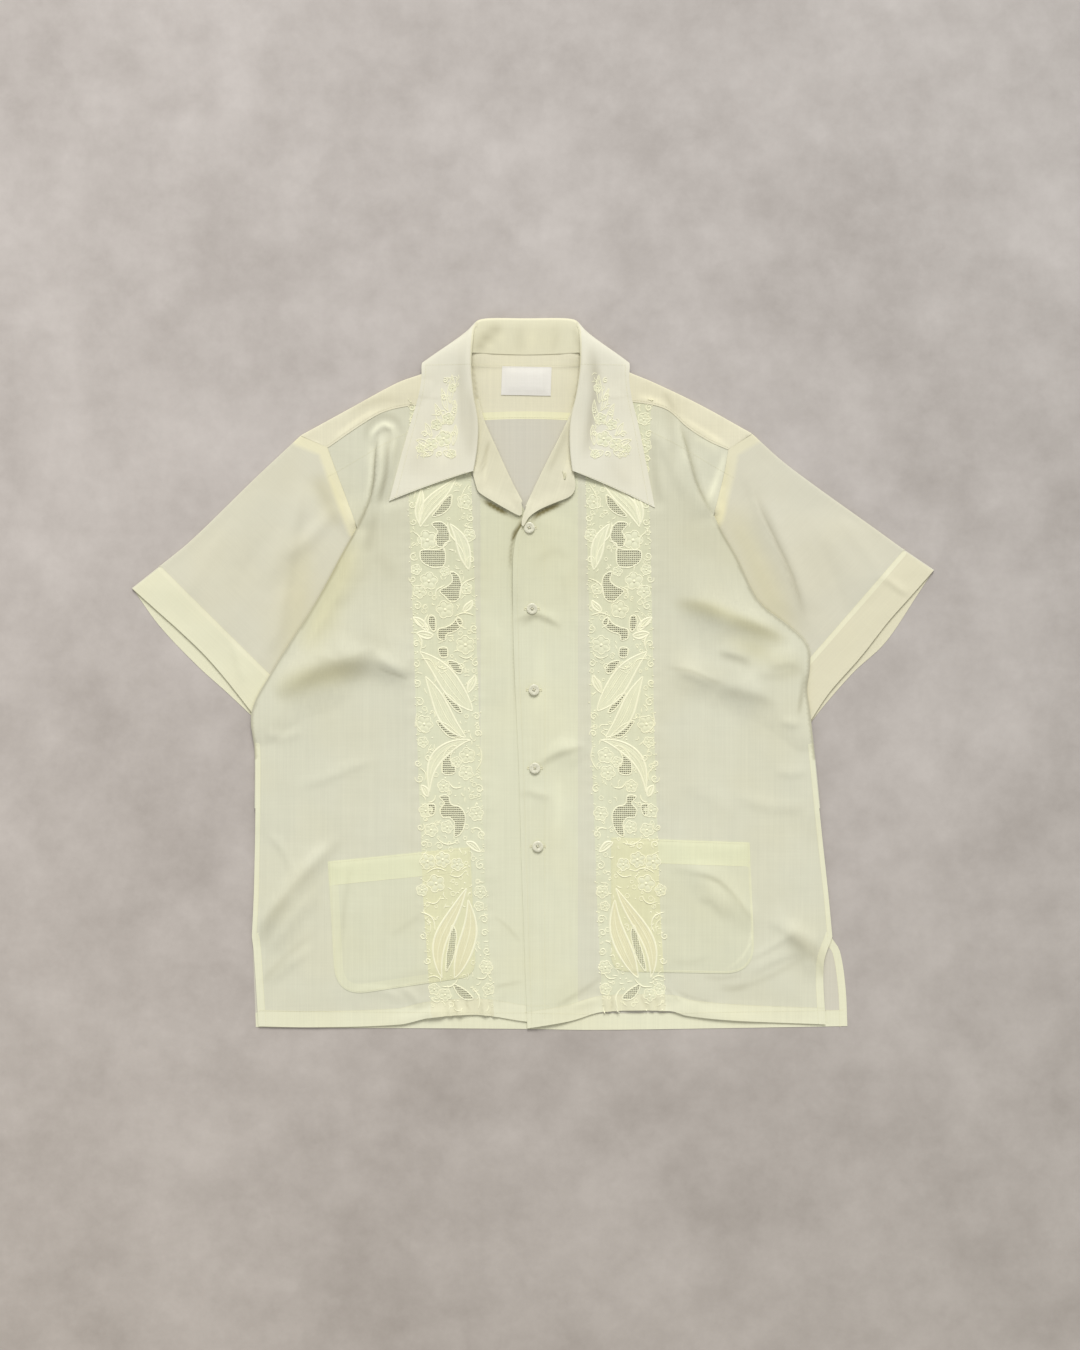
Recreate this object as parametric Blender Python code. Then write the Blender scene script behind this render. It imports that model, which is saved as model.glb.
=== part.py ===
"""A short-sleeved embroidered shirt laid flat on its back, face up, with its collar opened out.

Sizes are in millimetres until a point enters a mesh. +Y runs to the collar, +X to the
wearer's left, and z = 0 is the surface that the shirt lies on.
"""
import math
from collections import namedtuple

import bmesh
import bpy
from mathutils import Vector
from mathutils.geometry import delaunay_2d_cdt

MM = 0.001

# Cloth and the air between its layers
CLOTH = 1.1
AIR = 0.45
LAYER = CLOTH + AIR
FOLDED = 2.0
SEAM_GAP = 0.5
FACING_GAP = 0.9
YOKE_END_GAP = 1.4
UNDERARM_GAP = 2.2
FLOOR_LAYER = CLOTH / 2
FRONT_LAYER = FLOOR_LAYER + LAYER
COLLAR_CLOTH = 1.3

# How finely the sheets are divided
EDGE_STEP = 15.0
FACING_STEP = 9.0
FACING_FREE_STEP = 10.0
POCKET_STEP = 24.0
LATTICE = 30.0
BACK_LATTICE = 90.0
LATTICE_ROW = 0.87
LATTICE_CLEARANCE = 11.7
FOLD_CLEARANCE = 5.4
FOLD_STEP = 16.0
FOLD_OFFSETS = (0.0, -0.7, 0.7, -1.5, 1.5)
ROLL_FACETS = 4
CREST_FACETS = 4
FALL_FACETS = 5
CORNER_FACETS = 5
SAME_POINT = 0.1
TRIANGULATION_ERROR = 1e-4

# Trim
BUTTON_DIAMETER = 11.4
BUTTON_THICKNESS = 2.2
BUTTON_RIM = 1.3
BUTTON_DISH = 0.6
BUTTON_FOOT_INSET = 0.8
BUTTON_EDGE_HEIGHT = 0.9
BUTTON_SHOULDER_INSET = 0.3
BUTTON_SHOULDER_DROP = 0.2
BUTTON_SIDES = 16
POCKET_OUTER_CORNER = 34.0
POCKET_INNER_CORNER = 17.0

CREAM = (0.75, 0.72, 0.58, 1.0)
COLLAR_CREAM = (0.83, 0.81, 0.65, 1.0)
LABEL_WHITE = (0.85, 0.85, 0.82, 1.0)
PEARL = (0.80, 0.78, 0.66, 1.0)
CLOTH_ROUGHNESS = 0.8
PEARL_ROUGHNESS = 0.25

# Edges seen from above, x and y. Each edge is a smooth curve through its points.
Front = namedtuple("Front", "hem vent side fold armhole yoke neck edge hidden_side hidden_armhole")
RIGHT_FRONT = Front(
    hem=((17, -364), (-7, -364), (-57, -357), (-108, -360), (-140, -367), (-230, -370), (-288, -369)),
    vent=((-288, -369), (-293, -292), (-295, -275)),
    side=((-295, -275), (-293, -230), (-291, -140)),
    fold=((-291, -140), (-291, -80), (-294, -40), (-275, -1), (-228, 73), (-197, 130), (-184, 153)),
    armhole=((-184, 153), (-192, 175), (-203, 204), (-216, 239)),
    yoke=((-216, 239), (-181, 263), (-156, 277), (-123, 284), (-66, 289)),
    neck=((-10, 174), (2, 158), (13, 146)),
    edge=((13, 146), (17, 130), (17, -364)),
    hidden_side=((-291, -140), (-278, -105), (-260, -60), (-236, -12)),
    hidden_armhole=((-236, -12), (-212, 12), (-194, 45), (-184, 80), (-181, 120), (-184, 153)))
LEFT_FRONT = Front(
    hem=((-6, -371), (7, -369), (41, -363), (73, -354), (144, -353), (162, -358), (212, -363), (307, -367)),
    vent=((307, -367), (305, -304), (314, -275)),
    side=((314, -275), (310, -232), (300, -140)),
    fold=((300, -140), (294, -80), (289, -38), (286, -14), (289, 8), (287, 30), (268, 50), (236, 76),
          (214, 120), (195, 154)),
    armhole=((195, 154), (197, 175), (201, 209), (205, 237)),
    yoke=((205, 237), (185, 246), (163, 260), (141, 279), (113, 286), (54, 290)),
    neck=((-7, 172), (-9, 160)),
    edge=((-9, 160), (-17, 146), (-21, 118), (-20, 22), (-15, -96), (-12, -200), (-6, -371)),
    hidden_side=((300, -140), (286, -105), (264, -62), (236, -14)),
    hidden_armhole=((236, -14), (214, 12), (200, 45), (191, 80), (190, 120), (195, 154)))

Sleeve = namedtuple("Sleeve", "top cuff_front cuff_back corner underarm back_armhole yoke_armhole")
RIGHT_SLEEVE = Sleeve(
    top=((-243, 250), (-289, 207), (-358, 140), (-391, 113), (-420, 90)),
    cuff_front=((-420, 90), (-391, 64), (-372, 47), (-344, 20), (-319, -9), (-284, -54)),
    cuff_back=((-420, 90), (-392, 51), (-352, 9), (-320, -20), (-284, -54)),
    corner=(-284, -54),
    underarm=((-284, -54), (-236, -12)),
    back_armhole=((-236, -12), (-214, 16), (-201, 60), (-198, 110), (-202, 160), (-216, 205)),
    yoke_armhole=((-216, 205), (-243, 250)))
LEFT_SLEEVE = Sleeve(
    top=((229, 252), (266, 219), (364, 148), (389, 130), (420, 109)),
    cuff_front=((420, 109), (397, 83), (373, 56), (344, 19), (310, -20), (284, -60)),
    cuff_back=((420, 109), (405, 86), (370, 34), (337, 3), (306, -32), (284, -60)),
    corner=(284, -60),
    underarm=((284, -60), (236, -14)),
    back_armhole=((236, -14), (214, 16), (203, 60), (199, 110), (201, 160), (210, 205)),
    yoke_armhole=((210, 205), (229, 252)))

BACK_HEM = ((-291, -370), (-157, -371), (-7, -372), (62, -373), (212, -371), (330, -369))
BACK_VENT_LEFT = ((330, -369), (328, -328), (322, -290), (314, -277))
BACK_SIDE_LEFT = ((314, -277), (309, -232), (299, -140), (291, -68))
BACK_SIDE_RIGHT = ((-291, -60), (-290, -140), (-292, -230), (-294, -277), (-291, -370))
BACK_YOKE_SEAM = ((210, 205), (112, 257), (36, 267), (-52, 267), (-119, 257), (-216, 205))

SHOULDER_RIGHT = ((-241, 251), (-192, 278), (-142, 305), (-112, 316), (-62, 341))
SHOULDER_LEFT = ((227, 253), (175, 282), (127, 305), (98, 317), (47, 341))
BACK_NECK = ((-62, 341), (-45, 338), (-6, 337), (32, 338), (47, 341))
STRAP_NECK_RIGHT = ((-62, 341), (-66, 315), (-67, 290))
STRAP_NECK_LEFT = ((47, 341), (52, 315), (54, 291))

# The turned-back facings: the roll at the neck edge, then the free edges on the front
Facing = namedtuple("Facing", "roll seam free")
RIGHT_FACING = Facing(
    roll=((-12, 181), (-24, 204), (-40, 239), (-52, 266), (-58, 289)),
    seam=((-58, 289), (-66, 286), (-66, 240), (-63, 210)),
    free=((-63, 210), (-57, 190), (-41, 181), (-27, 173), (-13, 167), (-12, 181)))
LEFT_FACING = Facing(
    roll=((-7, 176), (11, 214), (37, 266), (46, 289)),
    seam=((46, 289), (52, 286), (48, 240), (43, 210)),
    free=((43, 210), (43, 192), (34, 184), (13, 178), (-3, 171), (-7, 176)))

# Pockets: corners of the patch, with its two lower ones rounded
Pocket = namedtuple("Pocket", "top_inner top_outer low_outer low_inner")
RIGHT_POCKET = Pocket((-66, -181), (-215, -196), (-207, -338), (-60, -316))
LEFT_POCKET = Pocket((82, -171), (227, -176), (233, -314), (82, -311))

BUTTONS = ((-4, 154), (-1, 69), (1, -16), (2, -98), (5, -180))

LABEL_CENTRE = (-7, 308)
LABEL_SIZE = (53, 31)

# The largest folds: where each starts and ends, its half width and its height
Fold = namedtuple("Fold", "piece x0 y0 x1 y1 width height")
FOLDS = (
    Fold("front_right", -118, 2, -214, 24, 15, 4.0),
    Fold("front_right", -206, 24, -272, -22, 13, 3.2),
    Fold("front_right", -212, -178, -287, -286, 16, 3.0),
    Fold("front_right", -160, 250, -178, 150, 10, 3.4),
    Fold("front_right", -142, 262, -150, 168, 8, 2.4),
    Fold("front_right", -40, 60, -28, -40, 13, 1.6),
    Fold("front_left", 150, 82, 262, 42, 15, 4.2),
    Fold("front_left", 138, 8, 250, -28, 16, 3.6),
    Fold("front_left", 158, -200, 240, -268, 11, 2.6),
    Fold("front_left", 262, -262, 305, -318, 11, 2.6),
    Fold("front_left", 158, 240, 182, 160, 11, 2.6),
    Fold("front_left", 20, -70, 52, -92, 11, 1.6),
    Fold("sleeve_left", 232, 190, 292, 60, 14, 3.0),
    Fold("sleeve_left", 300, 178, 352, 70, 20, 1.6),
    Fold("sleeve_right", -262, 200, -330, 30, 20, 2.0),
)
SWELL = 1.2
SWELL_REACH = 55.0
LIFT_FADE = 42.0
SLEEVE_EDGE_FADE = 12.0
COLLAR_FADE = 14.0
LAP_LIFT = 1.65
PLACKET_LAP = ((-21, 170), (22, 150), (22, -372), (-21, -372))
PLACKET_FADE = 24.0
NECK_FADE = 42.0

# The collar: half widths are measured from its middle line, which leans a little
COLLAR_MIDDLE_BACK = (-6.5, 370)
COLLAR_MIDDLE_FRONT = (-11.5, 180)
COLLAR_STATIONS = 2
LEAF_STATIONS = 6
STAND_SHARES = (0.0, 0.5)
CREST_LEAN = 0.5
Station = namedtuple(
    "Station", "seam_x seam_y seam_z crest_x crest_y crest_z radius turn belly_x belly_y belly_z"
    " edge_x edge_y edge_z left_drop")
COLLAR = (
    Station(54, 213, 5.9, 53, 213, 7.0, 1.1, 0, 96, 199, 7.6, 139.5, 182, 6.0, 7),
    Station(54, 236, 5.9, 52, 237, 7.2, 1.3, 0, 90, 232, 8.2, 130, 222, 6.0, 4),
    Station(55, 262, 6.2, 52, 264, 7.8, 1.6, 8, 86, 264, 8.4, 120, 261, 6.4, 0),
    Station(55, 290, 7.0, 52, 294, 9.4, 1.9, 22, 83, 294, 9.2, 112, 291, 6.8, 0),
    Station(53, 318, 7.8, 52, 326, 11.0, 2.2, 50, 82, 322, 8.8, 109, 310, 6.6, 0),
    Station(51, 337, 8.0, 51, 351, 10.6, 2.4, 85, 80, 344, 7.0, 108, 327, 3.4, 0),
    Station(46, 343, 5.0, 49, 364, 7.6, 2.6, 120, 72, 349, 1.0, 97, 321, 0.65, 0),
    Station(34, 340.2, 3.2, 38, 369, 4.8, 2.7, 160, 46, 348, 0.65, 58, 325, 0.65, 0),
    Station(0, 339.0, 2.8, 0, 370.5, 4.0, 2.7, 180, 0, 350, 0.65, 0, 325, 0.65, 0),
)
FALL_RISE = 1.9
FALL_ZONE = ((-118, 312), (-56, 372), (43, 372), (103, 312))


def clear_scene():
    for thing in list(bpy.data.objects):
        bpy.data.objects.remove(thing, do_unlink=True)


def material(name, colour, roughness):
    made = bpy.data.materials.new(name)
    made.use_nodes = True
    shader = made.node_tree.nodes["Principled BSDF"]
    shader.inputs["Base Color"].default_value = colour
    shader.inputs["Roughness"].default_value = roughness
    shader.inputs["Metallic"].default_value = 0.0
    return made


def smooth(share):
    """Ease from 0 to 1."""
    share = min(max(share, 0.0), 1.0)
    return share * share * (3 - 2 * share)


def curve(points, step=EDGE_STEP):
    """Points about one step apart on a smooth curve through the given ones."""
    given = [Vector(p) for p in points]
    made = [given[0]]
    for i in range(len(given) - 1):
        start, end = given[i], given[i + 1]
        before = given[i - 1] if i else start - (end - start)
        after = given[i + 2] if i + 2 < len(given) else end + (end - start)
        length = (end - start).length
        leave = (end - before).normalized() * length
        arrive = (after - start).normalized() * length
        parts = max(1, round(length / step))
        for k in range(1, parts + 1):
            t = k / parts
            made.append(start * (2 * t**3 - 3 * t**2 + 1) + leave * (t**3 - 2 * t**2 + t)
                        + end * (3 * t**2 - 2 * t**3) + arrive * (t**3 - t**2))
    return made


def outline(*runs):
    """One closed outline from runs that follow each other end to start."""
    joined = []
    for run in runs:
        joined += [p for p in run if not joined or (p - joined[-1]).length > SAME_POINT]
    if (joined[0] - joined[-1]).length < SAME_POINT:
        joined.pop()
    return joined


def sideways(line):
    """The unit vector to the right of each point of a line."""
    made = []
    for i in range(len(line)):
        along = (line[min(i + 1, len(line) - 1)] - line[max(i - 1, 0)]).normalized()
        made.append(Vector((along.y, -along.x)))
    return made


def moved(line, distance):
    """A line moved to its right by a distance."""
    return [p + side * distance for p, side in zip(line, sideways(line))]


def inside(point, polygon):
    crossings = 0
    for i in range(len(polygon)):
        a, b = polygon[i - 1], polygon[i]
        if (a[1] > point[1]) != (b[1] > point[1]):
            if point[0] < a[0] + (point[1] - a[1]) / (b[1] - a[1]) * (b[0] - a[0]):
                crossings += 1
    return crossings % 2 == 1


def to_segment(x, y, x0, y0, x1, y1):
    """Distance from a point to a segment, and how far along it the foot lies, from 0 to 1."""
    dx, dy = x1 - x0, y1 - y0
    share = ((x - x0) * dx + (y - y0) * dy) / max(dx * dx + dy * dy, 1e-9)
    share = min(max(share, 0.0), 1.0)
    return math.hypot(x - x0 - share * dx, y - y0 - share * dy), share


def edge_distance(x, y, polygon):
    return min(to_segment(x, y, *polygon[i - 1], *polygon[i])[0] for i in range(len(polygon)))


def near(x, y, polygon, fade):
    """1 inside a zone, easing to 0 at the fade distance outside it."""
    if inside((x, y), polygon):
        return 1.0
    return smooth(1 - edge_distance(x, y, polygon) / fade)


def ridges(piece, x, y):
    """The height that the largest folds add at a point."""
    total = 0.0
    for fold in FOLDS:
        if fold.piece == piece:
            distance, share = to_segment(x, y, fold.x0, fold.y0, fold.x1, fold.y1)
            total += fold.height * math.exp(-(distance / fold.width)**2) * smooth(4 * share * (1 - share))
    return total


def fold_points(piece):
    """Rows of points along each fold, so that the sheet bends where the fold does."""
    rows = []
    for fold in FOLDS:
        if fold.piece != piece:
            continue
        start, end = Vector((fold.x0, fold.y0)), Vector((fold.x1, fold.y1))
        along = (end - start).normalized()
        across = Vector((-along.y, along.x)) * fold.width
        parts = max(3, round((end - start).length / FOLD_STEP))
        for k in range(parts + 1):
            for offset in FOLD_OFFSETS:
                rows.append(start + (end - start) * k / parts + across * offset)
    return rows


def lattice(rim, spacing, wanted, taken):
    """Points inside a rim: the wanted ones and a triangular lattice, none too close to another."""
    if not spacing:
        return []
    rows = []
    low = min(p.y for p in rim)
    row = 0
    while low + row * spacing * LATTICE_ROW < max(p.y for p in rim):
        x = min(p.x for p in rim) + (row % 2) * spacing / 2
        while x < max(p.x for p in rim):
            rows.append(Vector((x, low + row * spacing * LATTICE_ROW)))
            x += spacing
        row += 1
    kept = []
    for clearance, candidates in ((FOLD_CLEARANCE, wanted), (LATTICE_CLEARANCE, rows)):
        for p in candidates:
            if inside(p, rim) and all((p - q).length > clearance for q in taken + kept):
                kept.append(p)
    return kept


Sheet = namedtuple("Sheet", "points faces rim")


def sheet(rim, height, spacing=LATTICE, wanted=(), lines=()):
    """Triangles over an outline, each point lifted to its height."""
    points = list(rim)
    edges = [(i, (i + 1) % len(rim)) for i in range(len(rim))]
    for line in lines:
        first = len(points)
        points += line
        edges += [(first + i, first + (i + 1) % len(line)) for i in range(len(line))]
    points += lattice(rim, spacing, list(wanted), points)
    flat, _, faces, sources, _, _ = delaunay_2d_cdt(points, edges, [], 1, TRIANGULATION_ERROR)
    place = {source: i for i, found in enumerate(sources) for source in found}
    lifted = [Vector((p.x, p.y, height(p.x, p.y))) for p in flat]
    return Sheet(lifted, faces, [place[i] for i in range(len(rim))])


def add_sheet(mesh, made):
    """Put a sheet in a mesh and return the vertices of its rim."""
    vertices = [mesh.verts.new(p * MM) for p in made.points]
    for face in made.faces:
        mesh.faces.new([vertices[i] for i in face])
    return [vertices[i] for i in made.rim]


def patch_of(made, polygon, lift):
    """The part of a sheet inside a polygon, moved up."""
    faces = [f for f in made.faces
             if inside(sum((made.points[i] for i in f), Vector((0, 0, 0))) / len(f), polygon)]
    used = sorted({i for f in faces for i in f})
    place = {old: new for new, old in enumerate(used)}
    points = [made.points[i] + Vector((0, 0, lift)) for i in used]
    return Sheet(points, [[place[i] for i in f] for f in faces], [])


def add_rows(mesh, rows):
    """Faces between rows of vertices."""
    for row, following in zip(rows, rows[1:]):
        for i in range(len(row) - 1):
            mesh.faces.new((row[i], row[i + 1], following[i + 1], following[i]))


def add_roll(mesh, upper, lower, outward, reach):
    """Carry the cloth round a fold from the upper layer's edge to the lower one's."""
    rows = [upper]
    for k in range(1, ROLL_FACETS):
        angle = math.pi * k / ROLL_FACETS
        row = []
        for top, bottom, out in zip(upper, lower, outward):
            middle, half = (top.co + bottom.co) / 2, (top.co - bottom.co) / 2
            bulge = Vector((out.x, out.y, 0)) * reach * math.sin(angle) * MM
            row.append(mesh.verts.new(middle + half * math.cos(angle) + bulge))
        rows.append(row)
    rows.append(lower)
    add_rows(mesh, rows)


def cloth(name, mesh, look, thickness=CLOTH):
    """Turn the middle surface in a mesh into a wall of cloth."""
    bmesh.ops.recalc_face_normals(mesh, faces=mesh.faces)
    data = bpy.data.meshes.new(name)
    mesh.to_mesh(data)
    mesh.free()
    data.materials.append(look)
    data.shade_smooth()
    made = bpy.data.objects.new(name, data)
    bpy.context.scene.collection.objects.link(made)
    wall = made.modifiers.new("wall", "SOLIDIFY")
    wall.thickness = thickness * MM
    wall.offset = 0.0
    wall.use_quality_normals = True
    return made


def sleeve_zone(front, sleeve):
    """Where a sleeve lies under a front: between the fold, the cuff's corner and the armhole."""
    fold = [p for p in curve(front.fold) if p.y > sleeve.corner[1]]
    return [tuple(p) for p in outline(fold, curve(front.hidden_armhole)[::-1], [Vector(sleeve.corner)])]


def side_zone(front):
    """Where a front is turned under itself, between its fold and the hidden seams."""
    return [tuple(p) for p in outline(curve(front.fold), curve(front.hidden_armhole)[::-1],
                                      curve(front.hidden_side)[::-1])]


def neck_rise(x, y):
    """The collar's fall lies under the yoke and lifts all that is above it."""
    return FALL_RISE * near(x, y, FALL_ZONE, NECK_FADE)


def front_height(piece, front, sleeve, rim):
    """The height of a front's middle surface, from what lies under it and from its folds."""
    over_sleeve = sleeve_zone(front, sleeve)
    over_self = side_zone(front)
    edges = [tuple(p) for p in rim]
    lap = LAP_LIFT if piece == "front_left" else 0.0
    sleeve_lift = FLOOR_LAYER + FOLDED + LAYER + FOLDED - FRONT_LAYER

    def height(x, y):
        lift = max(sleeve_lift * near(x, y, over_sleeve, LIFT_FADE),
                   FOLDED * near(x, y, over_self, LIFT_FADE),
                   lap * near(x, y, PLACKET_LAP, PLACKET_FADE))
        air = SWELL * smooth(edge_distance(x, y, edges) / SWELL_REACH)
        pressed = near(x, y, COLLAR_SHADE, COLLAR_FADE)
        if piece == "front_right":
            pressed = max(pressed, near(x, y, PLACKET_LAP, PLACKET_FADE))
        return FRONT_LAYER + lift + neck_rise(x, y) + (air + ridges(piece, x, y)) * (1 - pressed)

    return height


def collar_side(table_x, y, left):
    """The x of a half width on one side of the collar's middle line."""
    (x0, y0), (x1, y1) = COLLAR_MIDDLE_BACK, COLLAR_MIDDLE_FRONT
    middle = x0 + (x1 - x0) * (y - y0) / (y1 - y0)
    return middle + table_x if left else middle - table_x


def collar_shade():
    """The outline of the collar's leaves seen from above, where nothing under them may rise."""
    right = [(collar_side(s.edge_x, s.edge_y, False), s.edge_y) for s in COLLAR[:LEAF_STATIONS]]
    left = [(collar_side(s.edge_x, s.edge_y, True), s.edge_y) for s in COLLAR[:LEAF_STATIONS]]
    notch_right = (collar_side(COLLAR[0].seam_x, COLLAR[0].seam_y, False), COLLAR[0].seam_y)
    notch_left = (collar_side(COLLAR[0].seam_x, COLLAR[0].seam_y, True), COLLAR[0].seam_y)
    return right[::-1] + [notch_right, notch_left] + left


COLLAR_SHADE = collar_shade()


def pocket_outline(pocket):
    """The patch's outline: straight sides and two arcs at its lower corners."""
    inner, outer = Vector(pocket.top_inner), Vector(pocket.top_outer)
    low_outer, low_inner = Vector(pocket.low_outer), Vector(pocket.low_inner)
    runs = [curve((inner, outer), POCKET_STEP)]
    for before, corner, after, radius in ((outer, low_outer, low_inner, POCKET_OUTER_CORNER),
                                          (low_outer, low_inner, inner, POCKET_INNER_CORNER)):
        start = corner + (before - corner).normalized() * radius
        end = corner + (after - corner).normalized() * radius
        runs.append([start * (1 - t)**2 + corner * 2 * t * (1 - t) + end * t**2
                     for t in (k / CORNER_FACETS for k in range(CORNER_FACETS + 1))])
    return outline(*runs)


def build_front(piece, front, sleeve, facing, pocket, looks):
    """A front with its turned-under edge and its pocket. Returns the front's height."""
    side = 1 if piece == "front_right" else -1
    turn = curve(front.fold)
    armhole = moved(curve(front.armhole), side * SEAM_GAP)
    neckline = moved(curve(facing.roll, FACING_STEP), -side * FACING_GAP)[::-1]
    rim = outline(curve(front.hem), curve(front.vent), curve(front.side), turn, armhole[1:],
                  curve(front.yoke)[1:], neckline, curve(front.neck), curve(front.edge))
    height = front_height(piece, front, sleeve, rim)
    patch = pocket_outline(pocket)
    upper = sheet(rim, height, wanted=fold_points(piece), lines=[patch])
    hidden = outline(turn, curve(front.hidden_armhole)[::-1], curve(front.hidden_side)[::-1])
    lower = sheet(hidden, lambda x, y: height(x, y) - FOLDED, wanted=fold_points(piece))
    mesh = bmesh.new()
    upper_rim, lower_rim = add_sheet(mesh, upper), add_sheet(mesh, lower)
    first = rim.index(turn[1]) - 1
    top_edge = upper_rim[first:first + len(turn)]
    add_roll(mesh, top_edge, lower_rim[:len(turn)], [v * -side for v in sideways(turn)], FOLDED / 2)
    cloth(piece, mesh, looks["cloth"])
    mesh = bmesh.new()
    add_sheet(mesh, patch_of(upper, [tuple(p) for p in patch], LAYER))
    cloth(piece.replace("front", "pocket"), mesh, looks["cloth"])
    return height


def build_facing(piece, facing, height, looks):
    """The facing that the neck edge turns back over the front, with the roll at that edge."""
    turn = curve(facing.roll, FACING_STEP)
    rim = outline(turn, curve(facing.seam), curve(facing.free, FACING_FREE_STEP))
    upper = sheet(rim, lambda x, y: height(x, y) + FOLDED, spacing=0)
    mesh = bmesh.new()
    edge = add_sheet(mesh, upper)[:len(turn)]
    outward = sideways(turn)
    if piece == "facing_left":
        outward = [-v for v in outward]
    below = [mesh.verts.new(v.co - Vector((0, 0, FOLDED * MM))) for v in edge]
    add_roll(mesh, edge, below, outward, FOLDED / 2)
    cloth(piece, mesh, looks["cloth"])


def build_sleeve(piece, sleeve, front, looks):
    """A sleeve pressed flat: two layers joined round its top fold and its underarm seam."""
    top, underarm = curve(sleeve.top), curve(sleeve.underarm)
    strap_end = curve((front.armhole[-1], sleeve.top[0]))
    front_rim = outline(top, curve(sleeve.cuff_front), underarm, curve(front.hidden_armhole),
                        curve(front.armhole), strap_end)
    back_rim = outline(top, curve(sleeve.cuff_back), underarm, curve(sleeve.back_armhole),
                       curve(sleeve.yoke_armhole))
    under_front = sleeve_zone(front, sleeve)
    edges = [tuple(p) for p in front_rim]

    def front_layer(x, y):
        free = 1 - near(x, y, under_front, LIFT_FADE / 2)
        air = SWELL * smooth(edge_distance(x, y, edges) / SWELL_REACH)
        rise = smooth(edge_distance(x, y, edges) / SLEEVE_EDGE_FADE) * ridges(piece, x, y)
        return FLOOR_LAYER + FOLDED + (air + rise) * free

    upper = sheet(front_rim, front_layer, wanted=fold_points(piece))
    lower = sheet(back_rim, lambda x, y: FLOOR_LAYER, spacing=0)
    mesh = bmesh.new()
    upper_rim, lower_rim = add_sheet(mesh, upper), add_sheet(mesh, lower)
    side = -1 if piece == "sleeve_left" else 1
    for line, rims in ((top, (0, 0)), (underarm, (front_rim.index(underarm[1]) - 1,
                                                  back_rim.index(underarm[1]) - 1))):
        outward = [v * side for v in sideways(line)]
        add_roll(mesh, upper_rim[rims[0]:rims[0] + len(line)], lower_rim[rims[1]:rims[1] + len(line)],
                 outward, FOLDED / 2)
    cloth(piece, mesh, looks["cloth"])


def build_back(looks):
    """The back below its yoke, flat on the surface."""
    left_under = moved(curve(LEFT_SLEEVE.underarm), -UNDERARM_GAP)
    right_under = moved(curve(RIGHT_SLEEVE.underarm), UNDERARM_GAP)[::-1]
    left_armhole = moved(curve(LEFT_SLEEVE.back_armhole), -SEAM_GAP)
    right_armhole = moved(curve(RIGHT_SLEEVE.back_armhole), SEAM_GAP)[::-1]
    rim = outline(curve(BACK_HEM), curve(BACK_VENT_LEFT), curve(BACK_SIDE_LEFT), left_under,
                  left_armhole[1:-1], moved(curve(BACK_YOKE_SEAM), -SEAM_GAP)[1:-1],
                  right_armhole[1:-1], right_under, curve(BACK_SIDE_RIGHT))
    mesh = bmesh.new()
    add_sheet(mesh, sheet(rim, lambda x, y: FLOOR_LAYER, spacing=BACK_LATTICE))
    cloth("back", mesh, looks["cloth"])


def build_yoke(looks):
    """The yoke: flat under the neck, folded over both shoulders to its front seams."""
    right, left = curve(SHOULDER_RIGHT), curve(SHOULDER_LEFT)

    def low(x, y):
        return FLOOR_LAYER + neck_rise(x, y)

    def high(x, y):
        return FLOOR_LAYER + FOLDED + neck_rise(x, y)

    end_right = moved(curve(RIGHT_SLEEVE.yoke_armhole), YOKE_END_GAP)
    end_left = moved(curve(LEFT_SLEEVE.yoke_armhole), -YOKE_END_GAP)[::-1]
    rim = outline(curve(BACK_YOKE_SEAM)[1:-1], end_right[:-1], right, curve(BACK_NECK), left[::-1],
                  end_left[1:])
    label = label_outline()
    lower = sheet(rim, low, lines=[label])
    mesh = bmesh.new()
    lower_rim = add_sheet(mesh, lower)
    for line, neck, front, side in ((right, STRAP_NECK_RIGHT, RIGHT_FRONT, -1),
                                    (left, STRAP_NECK_LEFT, LEFT_FRONT, 1)):
        seam = moved(curve(front.yoke), side * SEAM_GAP)
        seam[0] = seam[0] + (seam[1] - seam[0]).normalized() * YOKE_END_GAP
        strap = outline(line, curve(neck), seam[::-1][1:])
        upper_rim = add_sheet(mesh, sheet(strap, high))
        order = [rim.index(p) for p in line]
        add_roll(mesh, upper_rim[:len(line)], [lower_rim[i] for i in order],
                 [v * side for v in sideways(line)], FOLDED / 2)
    cloth("yoke", mesh, looks["cloth"])
    mesh = bmesh.new()
    add_sheet(mesh, patch_of(lower, [tuple(p) for p in label], LAYER))
    cloth("neck_label", mesh, looks["label"])


def label_outline():
    half_x, half_y = LABEL_SIZE[0] / 2, LABEL_SIZE[1] / 2
    corners = [(-half_x, -half_y), (half_x, -half_y), (half_x, half_y), (-half_x, half_y)]
    return [Vector(LABEL_CENTRE) + Vector(c) for c in corners]


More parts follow.
